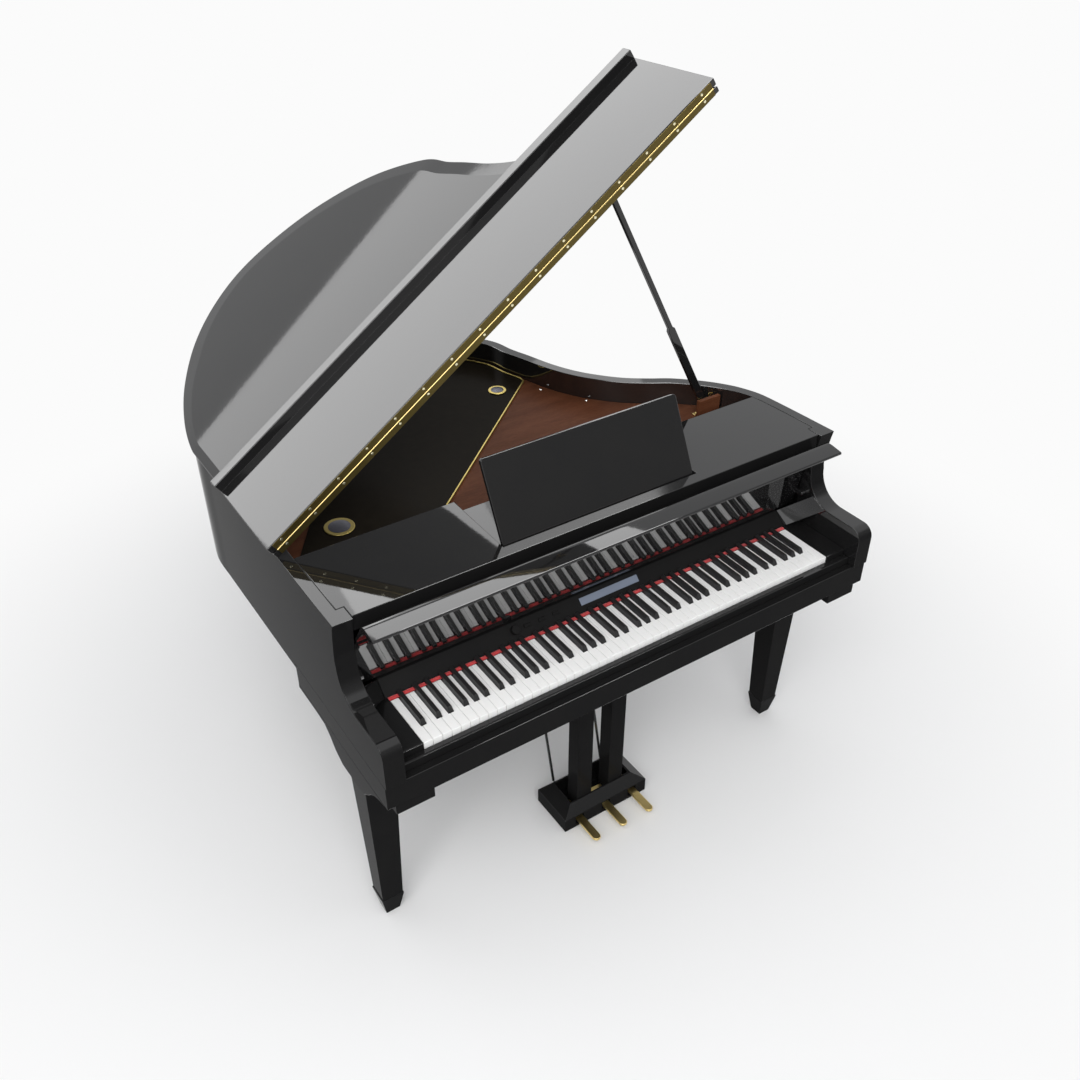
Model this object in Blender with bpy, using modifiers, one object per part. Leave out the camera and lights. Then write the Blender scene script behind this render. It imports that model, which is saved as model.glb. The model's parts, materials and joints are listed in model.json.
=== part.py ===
"""Digital grand piano, built from its separate pieces.

Units are metres. +Z is up, the pianist sits at -Y, and +X is the treble side.
While it is built, x = 0 is the middle of the keyboard, y = 0 is the front edge
of the white keys and z = 0 is the floor. The last lines move the origin to the
middle of the bounding box, on the floor.
"""

import math

import bmesh
import bpy
from mathutils import Matrix, Vector

# Clearances
GAP = 0.0003
SLIDE_GAP = 0.0005
OVERSHOOT = 0.01

# Width: the keys, with a cheek block and an arm on both sides of them
WHITE_COUNT = 52
WHITE_PITCH = 0.0236
KEYS_HALF = WHITE_COUNT * WHITE_PITCH / 2
CHEEK_WIDTH = 0.0678
ARM_WALL = 0.0486
CASE_HALF = KEYS_HALF + CHEEK_WIDTH + ARM_WALL

# Case: the rim's wall is thinner than the arms, and as thick as they are above them
RIM_WALL = 0.030
RIM_TOP = 1.024
RIM_BOTTOM = 0.690
RIM_FRONT = 0.1427
RIM_FACE = [(0.157, 0.925), (0.153, 0.965), (0.149, 0.995)]
KEYBED_BOTTOM = 0.6363
KEYBED_TOP = 0.703
KEYBED_FRONT = -0.039
KEYBED_REAR = 0.436
BOARD_THICKNESS = 0.012
BOARD_LIFT = 0.0015
TREBLE_CURVE = [
    (CASE_HALF, 0.150), (CASE_HALF - 0.0045, 0.250), (CASE_HALF - 0.0095, 0.340),
    (CASE_HALF - 0.0160, 0.4075), (CASE_HALF - 0.0315, 0.457), (CASE_HALF - 0.0535, 0.501),
    (CASE_HALF - 0.096, 0.558), (CASE_HALF - 0.162, 0.6226), (CASE_HALF - 0.220, 0.661),
    (CASE_HALF - 0.276, 0.703), (CASE_HALF - 0.324, 0.755), (CASE_HALF - 0.3665, 0.816),
    (CASE_HALF - 0.4005, 0.8916), (CASE_HALF - 0.427, 0.982), (CASE_HALF - 0.446, 1.042),
    (CASE_HALF - 0.472, 1.140), (0.150, 1.278), (0.000, 1.380),
    (-0.155, 1.436), (-0.300, 1.452), (-0.430, 1.417), (-CASE_HALF + 0.190, 1.343),
    (-CASE_HALF + 0.096, 1.227), (-CASE_HALF + 0.035, 1.102), (-CASE_HALF + 0.003, 0.981),
    (-CASE_HALF, 0.880),
]
TREBLE_SIDE_POINTS = 6
CURVE_STEPS = 6

# Arms
ARM_FRONT = -0.044
ARM_REAR = 0.190
ARM_TOP = 0.818
ARM_ARC_CENTRE = (0.070, 0.902)
ARM_ARC_RADIUS = 0.084
ARM_NOSE_RADIUS = 0.033

# Side skirts, front blocks and legs
SKIRT_THICKNESS = 0.018
SKIRT_REAR = 0.438
SKIRT_LOW = [
    (-0.035, 0.634), (0.000, 0.628), (0.028, 0.617), (0.050, 0.602), (0.067, 0.584),
    (0.090, 0.566), (0.120, 0.5595), (0.205, 0.5595), (0.240, 0.578), (0.265, 0.605),
    (0.290, 0.622), (0.330, 0.6255),
]
BLOCK_X = (CASE_HALF - 0.118, CASE_HALF - 0.022)
BLOCK_Y = (-0.034, 0.060)
BLOCK_LOW = 0.603
LEG_CENTRE = (CASE_HALF - 0.0644, 0.1871)
REAR_LEG_CENTRE = (-0.235, 1.210)
LEG_TOP_HALF = 0.0425
LEG_TAPER_TOP = 0.560
LEG_LOW_HALF = 0.029
FERRULE_HALF = 0.031
FERRULE_TOP = 0.067
FERRULE_BAND = 0.064
FOOT_HALF = 0.0196

# Keyboard
KEY_GAP = 0.001
WHITE_LENGTH = 0.156
WHITE_TOP = 0.742
WHITE_THICKNESS = 0.020
BLACK_WIDTH = 0.0137
BLACK_FRONT = 0.050
BLACK_REAR = 0.150
BLACK_TOP = 0.754
BLACK_BOTTOM = 0.7285
BLACK_SLOPE = 0.0035
BLACK_OVER_FELT = (0.168, 0.7472)
BLACK_CLEARANCE = 0.0009
NOTCH_FRONT_CLEARANCE = 0.002
KEY_BAR_FRONT = 0.132
KEY_BAR_REAR = 0.240
KEY_BAR_TOP = 0.7225
KEY_SEAT = 0.714
STEM_TOP = 0.737
STEM_BOTTOM = 0.731
STEM_FRONT = 0.149
STEM_LEG = (0.2425, 0.250)
BLACK_BAR = (0.200, 0.230)
BLACK_BAR_INSET = 0.0005
KEY_PIVOT = (0.236, 0.7139)
RAIL_FRONT = 0.234
BLACK_SHIFT = {"C": -0.003, "D": 0.003, "F": -0.004, "G": 0.0, "A": 0.004}
NOTES = "ABCDEFG"
SINGLE_WHITES = 4

# Front of the key well
SLIP_FRONT = -0.020
SLIP_REAR = -0.0015
SLIP_TOP = 0.726
FELT_LOW = 0.7385
FELT_TOP = 0.743
FELT_FRONT = 0.1596
PANEL_HALF = KEYS_HALF + 0.0064
PANEL_FOOT = (0.169, 0.7425)
PANEL_HEAD = (0.2028, 0.7757)
PANEL_SLOPE = math.atan2(PANEL_HEAD[1] - PANEL_FOOT[1], PANEL_HEAD[0] - PANEL_FOOT[0])
PANEL_REAR = 0.232
END_INNER = [PANEL_FOOT, PANEL_HEAD, (0.2045, 0.7757), (0.2080, 0.7425)]
END_OUTER = [(0.087, 0.817), (0.133, 0.839), (0.135, 0.839), (0.172, 0.7425)]

# Controls on the panel
DISPLAY_X = (-0.064, 0.118)
DISPLAY_RUN = (0.0180, 0.0370)
DISPLAY_THICKNESS = 0.0014
CONTROL_RUN = 0.0270
KNOB_X = -0.259
KNOB_RADIUS = 0.011
KNOB_HEIGHT = 0.013
BUTTON_X = (-0.221, -0.179, -0.137)
BUTTON_SIZE = (0.020, 0.007)
BUTTON_STANDS = 0.0022
BUTTON_POCKET = 0.0050
BUTTON_TRAVEL = 0.0012

# Fallboard: its flat face from the foot up, the bend over to the lip, and its back from there down
FALL_PIVOT = (0.1687, 0.834)
FALL_HALF = CASE_HALF - ARM_WALL - 0.0044
FALL_FOOT = (0.2000, 0.7860)
FALL_BEND = [
    (0.1781, 0.9065), (0.1690, 0.9300), (0.1570, 0.9480), (0.1280, 0.9850), (0.1173, 0.9965),
    (0.1061, 1.0035), (0.0931, 1.0065), (0.0655, 1.0066),
]
FALL_BACK = [
    (0.0632, 1.0090), (0.0634, 1.0130), (0.0655, 1.0149), (0.1000, 1.0204), (0.1110, 1.0205),
    (0.1180, 1.0180), (0.1237, 1.0110), (0.1355, 0.9909), (0.1703, 0.9395), (0.1875, 0.9085),
    (0.2098, 0.7860),
]
FALL_STEPS = 3
FALL_LUG_RADIUS = 0.007
FALL_LUG_REAR = 0.1950

# Shelf, desk and its strut
SHELF_FRONT = 0.1520
SHELF_REAR = 0.410
SHELF_BOTTOM = 0.984
POCKET_HALF = 0.286
POCKET_FRONT = 0.1859
POCKET_FLOOR = 0.9915
DESK_HALF = 0.282
DESK_LENGTH = 0.2176
DESK_THICKNESS = 0.011
DESK_CORNER = 0.008
DESK_PIVOT = (0.194, 1.0075)
DESK_ANGLE = math.radians(64)
STRUT_SEAT = 0.120
STRUT_BEFORE_PIVOT = 0.002
STRUT_LENGTH = 0.128
STRUT_OFFSET = 0.0088
STRUT_THICKNESS = 0.004
STRUT_HALF = 0.040

# Deck inside the case
DECK_TOP = 0.958
DECK_THICKNESS = 0.016
DECK_FRONT = 0.300
PANEL_SHEET = 0.0037
SPEAKER_FRONT = [(-0.586, 0.599), (-0.672, 0.470), (-0.294, 0.466), (0.262, 0.951)]
SPEAKER_BASS = -0.586
SPEAKER_INSET = 0.012
TRIM_REAR = 1.185
TRIM_WIDTH = 0.004
TRIM_HEIGHT = 0.0065
FRONT_SPEAKER = (-0.530, 0.549, 0.038, 0.025)
REAR_SPEAKER = (0.165, 0.941, 0.027, 0.016)
SPEAKER_DEPTH = 0.060
SPEAKER_FLANGE = 0.003
SPEAKER_MAGNET = 0.55
SPEAKER_CAP = 0.4
SPEAKER_RING = 0.004
CIRCUIT_BOARD = ((-0.300, 0.600), (0.050, 0.850), 0.0016)

# Lid
LID_ANGLE = math.radians(34.95)
LID_THICKNESS = 0.019
LID_FRONT = 0.428
LID_LIFT = 0.0006
LID_CORNER = 2 * CASE_HALF + 0.004
LID_FOLDED_CORNER = 2 * CASE_HALF - 0.0035
LID_OVERHANG_REACH = 0.120
FLAP_AXIS = (0.426, 0.0192)
FLAP_LIFT = 0.0004
LIP_THICKNESS = 0.030
LIP_HEIGHT = 0.024
LIP_BACK = 0.1406
LEAF_SPAN = (0.016, LID_CORNER - 0.0135)
LEAF_THICKNESS = 0.0012
LEAF_HEIGHT = 0.0165
KNUCKLE_RADIUS = 0.0016

# Lid prop
PROP_PIVOT = (CASE_HALF - 0.133, 0.520, 0.985)
PROP_ANGLE = math.radians(61.5)
PROP_SHORT = 0.009
PROP_SLEEVE = 0.293
PROP_WIDE = 0.011
PROP_SLIM = 0.0065
PROP_HALF = 0.006
PROP_PIN_RADIUS = 0.003
PROP_PIN_REAR = 0.530
PROP_BOARD = ((CASE_HALF - 0.174, 0.486), (CASE_HALF - 0.096, 0.498))
PROP_BOARD_TOP = 1.010
BRACKET_THICKNESS = 0.003
BRACKET_FOOT = 0.012
BRACKET_REACH = (0.040, 0.018)
BRACKET_STEP = 0.010
CUP_HALF_LENGTH = 0.018
CUP_CLEARANCE = 0.0012
CUP_WALL = 0.0033
CUP_DEPTH = 0.016
CUP_BASE = 0.0025

# Pedal lyre
LYRE_HALF = 0.143
LYRE_Y = (0.121, 0.262)
LYRE_LOW = 0.006
LYRE_SHOULDER = 0.052
LYRE_TOP = 0.075
LYRE_MOUTH_HALF = 0.108
LYRE_MOUTH_Y = (0.149, 0.243)
LYRE_WALL = 0.006
POST_X = (0.030, 0.080)
POST_Y = (0.155, 0.202)
PEDAL_WIDTH = 0.024
PEDAL_Z = (0.030, 0.038)
PEDAL_FRONT = 0.030
PEDAL_PIVOT_Y = 0.185
PEDAL_REAR = 0.192
PEDAL_ARM_FRONT = 0.178
PEDAL_SLOT_HALF = 0.014
PEDAL_SLOT_Z = (0.0135, 0.047)
ROD_X = 0.085
ROD_FOOT = (0.2668, 0.050)
ROD_HEAD_Y = 0.414
ROD_RADIUS = 0.004

for old in list(bpy.data.objects):
    bpy.data.objects.remove(old)

PARTS = bpy.data.collections.new("digital_grand_piano")
CUTTERS = bpy.data.collections.new("cutters")
for group in (PARTS, CUTTERS):
    bpy.context.scene.collection.children.link(group)
ROOT = bpy.data.objects.new("piano_origin", None)
PARTS.objects.link(ROOT)


def finish(name, colour, roughness, metallic=0.0):
    """A Principled material with one colour."""
    material = bpy.data.materials.new(name)
    material.use_nodes = True
    shader = material.node_tree.nodes["Principled BSDF"]
    shader.inputs["Base Color"].default_value = (*colour, 1.0)
    shader.inputs["Roughness"].default_value = roughness
    shader.inputs["Metallic"].default_value = metallic
    return material


BLACK_GLOSS = finish("black_gloss", (0.010, 0.010, 0.011), 0.06)
BLACK_SATIN = finish("black_satin", (0.022, 0.021, 0.021), 0.45)
BLACK_PLASTIC = finish("black_plastic", (0.015, 0.015, 0.016), 0.40)
IVORY = finish("white_plastic", (0.86, 0.85, 0.81), 0.22)
FELT = finish("red_felt", (0.36, 0.015, 0.020), 0.90)
BRASS = finish("brass", (0.76, 0.55, 0.22), 0.25, 1.0)
GLASS = finish("display_glass", (0.55, 0.62, 0.72), 0.15)
WOOD = finish("reddish_wood", (0.20, 0.065, 0.035), 0.35)
GREEN_BOARD = finish("circuit_board", (0.03, 0.16, 0.07), 0.50)


def settle(obj, material, origin=(0, 0, 0)):
    """Gives a piece its material, and its origin in the frame it was drawn in."""
    obj.data.materials.clear()
    obj.data.materials.append(material)
    obj.data.transform(Matrix.Translation(-Vector(origin)))
    obj.location = Vector(origin)
    obj.parent = ROOT
    return obj


def mesh_object(name, bm, group=PARTS):
    """A new object from a bmesh, with its faces pointing out."""
    bmesh.ops.recalc_face_normals(bm, faces=bm.faces)
    mesh = bpy.data.meshes.new(name)
    bm.to_mesh(mesh)
    bm.free()
    obj = bpy.data.objects.new(name, mesh)
    group.objects.link(obj)
    if group is CUTTERS:
        obj.hide_render = True
        obj.display_type = "WIRE"
    return obj


def block(name, low, high, group=PARTS):
    """A box between two corners."""
    low, high = Vector(low), Vector(high)
    bm = bmesh.new()
    bmesh.ops.create_cube(bm, size=1.0)
    size = Matrix.Diagonal((*(high - low), 1.0))
    bmesh.ops.transform(bm, matrix=Matrix.Translation((low + high) / 2) @ size, verts=bm.verts)
    return mesh_object(name, bm, group)


PLANES = {
    "plan": Matrix(((1, 0, 0), (0, 1, 0), (0, 0, 1))),
    "side": Matrix(((0, 0, 1), (1, 0, 0), (0, 1, 0))),
    "front": Matrix(((1, 0, 0), (0, 0, -1), (0, 1, 0))),
}


def outline(name, shapes, start, end, plane="plan", group=PARTS):
    """Flat outlines in a plane, filled and drawn out from start to end across it."""
    if not isinstance(shapes[0], list):
        shapes = [shapes]
    curve = bpy.data.curves.new(name, "CURVE")
    curve.dimensions = "2D"
    curve.fill_mode = "BOTH"
    curve.extrude = (end - start) / 2
    for shape in shapes:
        spline = curve.splines.new("POLY")
        spline.points.add(len(shape) - 1)
        for point, (u, v) in zip(spline.points, shape):
            point.co = (u, v, 0, 1)
        spline.use_cyclic_u = True
    guide = bpy.data.objects.new(name, curve)
    CUTTERS.objects.link(guide)
    middle = (start + end) / 2
    if plane == "front":
        middle = -middle
    turn = PLANES[plane].to_4x4() @ Matrix.Translation((0, 0, middle))
    return curve_to_mesh(name, guide, turn, group)


def curve_to_mesh(name, guide, placing, group=PARTS):
    """The curve's solid as a mesh, its caps welded on."""
    bpy.context.view_layer.update()
    evaluated = guide.evaluated_get(bpy.context.evaluated_depsgraph_get())
    solid = bpy.data.meshes.new_from_object(evaluated)
    bm = bmesh.new()
    bm.from_mesh(solid)
    bmesh.ops.transform(bm, matrix=placing, verts=bm.verts)
    bmesh.ops.remove_doubles(bm, verts=bm.verts, dist=0.00001)
    bpy.data.objects.remove(guide)
    bpy.data.meshes.remove(solid)
    return mesh_object(name, bm, group)


def rod(name, points, radius):
    """A round rod along straight runs."""
    curve = bpy.data.curves.new(name, "CURVE")
    curve.dimensions = "3D"
    curve.bevel_depth = radius
    curve.bevel_resolution = 3
    curve.use_fill_caps = True
    spline = curve.splines.new("POLY")
    spline.points.add(len(points) - 1)
    for point, place in zip(spline.points, points):
        point.co = (*place, 1)
    guide = bpy.data.objects.new(name, curve)
    CUTTERS.objects.link(guide)
    return curve_to_mesh(name, guide, Matrix.Identity(4))


def cylinder(name, centre, radius, length, axis="Z", segments=32, group=PARTS):
    """A cylinder about its centre, along X, Y or Z."""
    bm = bmesh.new()
    bmesh.ops.create_cone(bm, cap_ends=True, segments=segments, radius1=radius,
                          radius2=radius, depth=length)
    turns = {"X": Matrix.Rotation(math.pi / 2, 4, "Y"),
             "Y": Matrix.Rotation(math.pi / 2, 4, "X"),
             "Z": Matrix.Identity(4)}
    placing = Matrix.Translation(Vector(centre)) @ turns[axis]
    bmesh.ops.transform(bm, matrix=placing, verts=bm.verts)
    return mesh_object(name, bm, group)


def turned(name, profile, centre, steps=32, turn=0.0):
    """A profile of radius and height, from the top of the axis to its foot, turned about Z."""
    mesh = bpy.data.meshes.new(name)
    bm = bmesh.new()
    start = Matrix.Rotation(turn, 3, "Z")
    chain = [bm.verts.new(start @ Vector((radius, 0, height))) for radius, height in profile]
    for upper, lower in zip(chain, chain[1:]):
        bm.edges.new((upper, lower))
    bm.to_mesh(mesh)
    bm.free()
    obj = bpy.data.objects.new(name, mesh)
    PARTS.objects.link(obj)
    screw = obj.modifiers.new("turned", "SCREW")
    screw.angle = 2 * math.pi
    screw.steps = screw.render_steps = steps
    screw.use_merge_vertices = True
    screw.merge_threshold = 0.00001
    obj.location = centre
    obj.parent = ROOT
    return obj


def stack(name, sections, group=PARTS):
    """A solid lofted through level rectangles: (x low, x high, y low, y high, z)."""
    bm = bmesh.new()
    rings = []
    for x0, x1, y0, y1, z in sections:
        corners = ((x0, y0, z), (x1, y0, z), (x1, y1, z), (x0, y1, z))
        rings.append([bm.verts.new(corner) for corner in corners])
    bm.faces.new(rings[0])
    bm.faces.new(rings[-1])
    for lower, upper in zip(rings, rings[1:]):
        for k in range(4):
            bm.faces.new((lower[k], lower[(k + 1) % 4], upper[(k + 1) % 4], upper[k]))
    return mesh_object(name, bm, group)


def combine(obj, other, operation):
    """A Boolean between two pieces. The second one becomes a guide."""
    modifier = obj.modifiers.new(operation.lower(), "BOOLEAN")
    modifier.operation = operation
    modifier.solver = "EXACT"
    modifier.object = other
    other.hide_render = True
    other.display_type = "WIRE"
    return obj


def arc(centre, radius, start, end, steps):
    """Points on a circle, angles in degrees."""
    angles = [math.radians(start + (end - start) * k / steps) for k in range(steps + 1)]
    return [(centre[0] + radius * math.cos(a), centre[1] + radius * math.sin(a)) for a in angles]


def smooth(points, steps):
    """Points on a smooth curve through the given ones."""
    guides = [points[0]] + list(points) + [points[-1]]
    result = []
    for k in range(1, len(guides) - 2):
        p0, p1, p2, p3 = (Vector(guides[k + shift]) for shift in (-1, 0, 1, 2))
        for step in range(steps):
            t = step / steps
            place = (2 * p1 + (p2 - p0) * t + (2 * p0 - 5 * p1 + 4 * p2 - p3) * t * t
                     + (3 * p1 - p0 - 3 * p2 + p3) * t ** 3) / 2
            result.append(tuple(place))
    result.append(tuple(points[-1]))
    return result


OUTER_PATH = smooth(TREBLE_CURVE, CURVE_STEPS)


def rim_path(inset):
    """The rim's plan, from the treble front round the tail to the bass front."""
    path = []
    for k, (x, y) in enumerate(OUTER_PATH):
        before = Vector(OUTER_PATH[max(k - 1, 0)])
        after = Vector(OUTER_PATH[min(k + 1, len(OUTER_PATH) - 1)])
        along = (after - before).normalized()
        path.append((x - along.y * inset, y + along.x * inset))
    path[0] = (CASE_HALF - inset, path[0][1])
    path[-1] = (-CASE_HALF + inset, path[-1][1])
    return path


def plan_from(front, inset):
    """The area inside the rim's plan behind a front line."""
    kept = [point for point in rim_path(inset) if point[1] > front + SLIDE_GAP]
    return [(kept[0][0], front)] + kept + [(kept[-1][0], front)]


def treble_x(y, inset=0):
    """The treble side's x at a distance y behind the key fronts."""
    side = rim_path(inset)[: TREBLE_SIDE_POINTS * CURVE_STEPS]
    for (x0, y0), (x1, y1) in zip(side, side[1:]):
        if y0 <= y <= y1:
            return x0 + (x1 - x0) * (y - y0) / (y1 - y0)
    return side[0][0]


def plan_between(front, rear, inset):
    """The area inside the rim's plan between two lines across it."""
    treble = [(x, y) for x, y in rim_path(inset)
              if front + SLIDE_GAP < y < rear - SLIDE_GAP and x > 0]
    bass = -CASE_HALF + inset
    return [(treble_x(front, inset), front)] + treble + [
        (treble_x(rear, inset), rear), (bass, rear), (bass, front)]


def make_rim():
    """The bent rim, open at the front, with the arms' hollow rounded into its front ends."""
    outer = [(CASE_HALF, RIM_FRONT)] + rim_path(0) + [(-CASE_HALF, RIM_FRONT)]
    thick, thin = CASE_HALF - ARM_WALL, CASE_HALF - RIM_WALL
    behind = [point for point in rim_path(RIM_WALL) if point[1] > ARM_REAR + SLIDE_GAP]
    inner = [(thick, RIM_FRONT), (thick, ARM_REAR), (treble_x(ARM_REAR, RIM_WALL), ARM_REAR)]
    inner += behind + [(-thin, ARM_REAR), (-thick, ARM_REAR), (-thick, RIM_FRONT)]
    rim = outline("outer_rim", outer + inner[::-1], RIM_BOTTOM, RIM_TOP)
    settle(rim, BLACK_GLOSS)
    reach = CASE_HALF + 5 * OVERSHOOT
    low = block("cut_over_keybed", (-reach, 0, 0), (reach, KEYBED_REAR + GAP, KEYBED_TOP + GAP),
                CUTTERS)
    arm = block("cut_for_arms", (-reach, 0, 0), (reach, ARM_REAR + GAP, ARM_ARC_CENTRE[1]), CUTTERS)
    deepest = ARM_ARC_CENTRE[0] + ARM_ARC_RADIUS
    face = [(deepest, ARM_ARC_CENTRE[1] - OVERSHOOT), (deepest, ARM_ARC_CENTRE[1])] + smooth(
        RIM_FACE, 3) + [(RIM_FRONT, RIM_TOP), (RIM_FRONT, RIM_TOP + OVERSHOOT)]
    face += [(0, RIM_TOP + OVERSHOOT), (0, ARM_ARC_CENTRE[1] - OVERSHOOT)]
    hollow = outline("cut_rim_face", face, -reach, reach, "side", CUTTERS)
    for cutter in (low, arm, hollow):
        combine(rim, settle(cutter, BLACK_GLOSS), "DIFFERENCE")


def make_arms():
    """The two arms beside the keys: a rounded nose, a flat top and a hollow up to the rim."""
    nose = (ARM_FRONT + ARM_NOSE_RADIUS, ARM_TOP - ARM_NOSE_RADIUS)
    top = ARM_ARC_CENTRE[1] - GAP
    profile = [(ARM_FRONT, KEYBED_TOP + GAP)]
    profile += arc(nose, ARM_NOSE_RADIUS, 180, 90, 8)
    profile += arc(ARM_ARC_CENTRE, ARM_ARC_RADIUS, -90, 0, 14)[:-1]
    profile += [(ARM_ARC_CENTRE[0] + ARM_ARC_RADIUS, top), (ARM_REAR, top),
                (ARM_REAR, KEYBED_TOP + GAP)]
    for side, sign in (("left", -1), ("right", 1)):
        ends = sorted((sign * CASE_HALF, sign * (CASE_HALF - ARM_WALL)))
        settle(outline(f"{side}_arm", profile, *ends, "side"), BLACK_GLOSS)


def make_underframe():
    """Keybed, the skirts and blocks below it, and the board that closes the tail."""
    settle(block("keybed", (-CASE_HALF, KEYBED_FRONT, KEYBED_BOTTOM),
                 (CASE_HALF, KEYBED_REAR, KEYBED_TOP)), BLACK_GLOSS)
    top = KEYBED_BOTTOM - GAP
    skirt = [(SKIRT_LOW[0][0], top)] + SKIRT_LOW + [(SKIRT_REAR, SKIRT_LOW[-1][1]),
                                                    (SKIRT_REAR, top)]
    for side, sign in (("left", -1), ("right", 1)):
        ends = sorted((sign * CASE_HALF, sign * (CASE_HALF - SKIRT_THICKNESS)))
        settle(outline(f"{side}_side_skirt", skirt, *ends, "side"), BLACK_GLOSS)
        spans = sorted(sign * x for x in BLOCK_X)
        settle(block(f"{side}_front_block", (spans[0], BLOCK_Y[0], BLOCK_LOW),
                     (spans[1], BLOCK_Y[1], top)), BLACK_GLOSS)
    board_low = RIM_BOTTOM + BOARD_LIFT
    plan = plan_from(KEYBED_REAR + 2 * GAP, RIM_WALL + SLIDE_GAP)
    settle(outline("bottom_board", plan, board_low, board_low + BOARD_THICKNESS), BLACK_SATIN)
    (x0, y0), (x1, y1), thickness = CIRCUIT_BOARD
    floor = board_low + BOARD_THICKNESS + GAP
    settle(block("circuit_board", (x0, y0, floor), (x1, y1, floor + thickness)), GREEN_BOARD)
    return board_low


def make_legs(rear_top):
    """Square legs that taper down to a ferrule and a small foot."""
    diagonal = math.sqrt(2)
    places = {"left_leg": (-LEG_CENTRE[0], LEG_CENTRE[1], KEYBED_BOTTOM - GAP),
              "right_leg": (LEG_CENTRE[0], LEG_CENTRE[1], KEYBED_BOTTOM - GAP),
              "rear_leg": (*REAR_LEG_CENTRE, rear_top - GAP)}
    for name, (x, y, top) in places.items():
        levels = [(0, top), (LEG_TOP_HALF, top), (LEG_TOP_HALF, LEG_TAPER_TOP),
                  (LEG_LOW_HALF, FERRULE_TOP), (FERRULE_HALF, FERRULE_TOP),
                  (FERRULE_HALF, FERRULE_BAND), (FOOT_HALF, 0), (0, 0)]
        profile = [(half * diagonal, height) for half, height in levels]
        leg = turned(name, profile, (x, y, 0), 4, math.pi / 4)
        leg.data.materials.append(BLACK_GLOSS)


def note_name(index):
    """The letter of a white key, counted from the lowest A."""
    return NOTES[index % 7]


def key_left(index):
    """The left edge of a white key's place."""
    return (index - WHITE_COUNT / 2) * WHITE_PITCH


def black_centre(index):
    """The middle of the black key after a white key, or None where there is none."""
    if index < 0 or index >= WHITE_COUNT - 1 or note_name(index) not in BLACK_SHIFT:
        return None
    return key_left(index + 1) + BLACK_SHIFT[note_name(index)]


def white_outline(index):
    """A white key's plan, stepped back beside its black keys."""
    left = key_left(index) + KEY_GAP / 2
    right = key_left(index + 1) - KEY_GAP / 2
    reach = BLACK_WIDTH / 2 + BLACK_CLEARANCE
    step = BLACK_FRONT - NOTCH_FRONT_CLEARANCE
    before, after = black_centre(index - 1), black_centre(index)
    shape = [(left, 0), (right, 0)]
    if after is not None:
        shape += [(right, step), (after - reach, step), (after - reach, WHITE_LENGTH)]
    else:
        shape += [(right, WHITE_LENGTH)]
    if before is not None:
        shape += [(before + reach, WHITE_LENGTH), (before + reach, step), (left, step)]
    else:
        shape += [(left, WHITE_LENGTH)]
    return shape


def white_part(name, indices):
    """White keys on one bar: each key of a run, or one key alone."""
    low = WHITE_TOP - WHITE_THICKNESS
    keys = outline(name, [white_outline(k) for k in indices], low, WHITE_TOP)
    left = key_left(indices[0]) + KEY_GAP / 2
    right = key_left(indices[-1] + 1) - KEY_GAP / 2
    bar = block(f"{name}_bar", (left, KEY_BAR_FRONT, KEY_SEAT),
                (right, KEY_BAR_REAR, KEY_BAR_TOP), CUTTERS)
    origin = (0, *KEY_PIVOT)
    return combine(settle(keys, IVORY, origin), settle(bar, IVORY, origin), "UNION")


def black_part(name, indices):
    """Black keys with a stem and a rear foot on the pivot rail, joined by a bar in a run."""
    over_rear, over_low = BLACK_OVER_FELT
    profile = [
        (BLACK_FRONT, BLACK_BOTTOM), (BLACK_FRONT + BLACK_SLOPE, BLACK_TOP),
        (over_rear, BLACK_TOP), (over_rear, over_low), (BLACK_REAR, over_low),
        (BLACK_REAR, STEM_TOP), (STEM_LEG[1], STEM_TOP), (STEM_LEG[1], KEY_SEAT),
        (STEM_LEG[0], KEY_SEAT), (STEM_LEG[0], STEM_BOTTOM), (STEM_FRONT, STEM_BOTTOM),
        (STEM_FRONT, BLACK_BOTTOM),
    ]
    origin = (0, *KEY_PIVOT)
    half = BLACK_WIDTH / 2
    centres = [black_centre(k) for k in indices]
    merged = bmesh.new()
    for centre in centres:
        one = outline("one_black", profile, centre - half, centre + half, "side", CUTTERS)
        merged.from_mesh(one.data)
        bpy.data.objects.remove(one)
    keys = settle(mesh_object(name, merged), BLACK_PLASTIC, origin)
    if len(centres) > 1:
        bar = block(f"{name}_bar", (centres[0], BLACK_BAR[0], STEM_BOTTOM + BLACK_BAR_INSET),
                    (centres[-1], BLACK_BAR[1], STEM_TOP - BLACK_BAR_INSET), CUTTERS)
        combine(keys, settle(bar, BLACK_PLASTIC, origin), "UNION")
    return keys


def make_keys():
    """All the keys: the lowest ones swing by themselves, the others on two bars."""
    blacks = [k for k in range(WHITE_COUNT) if black_centre(k) is not None]
    single_blacks = [k for k in blacks if k < SINGLE_WHITES]
    for number in range(SINGLE_WHITES):
        white_part(f"white_key_{number + 1}", [number])
    for number, index in enumerate(single_blacks):
        black_part(f"black_key_{number + 1}", [index])
    white_part("white_keys", list(range(SINGLE_WHITES, WHITE_COUNT)))
    black_part("black_keys", blacks[len(single_blacks):])
    settle(block("key_pivot_rail", (-KEYS_HALF, RAIL_FRONT, KEYBED_TOP + GAP),
                 (KEYS_HALF, STEM_LEG[1], KEY_SEAT - GAP)), BLACK_SATIN)


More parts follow.
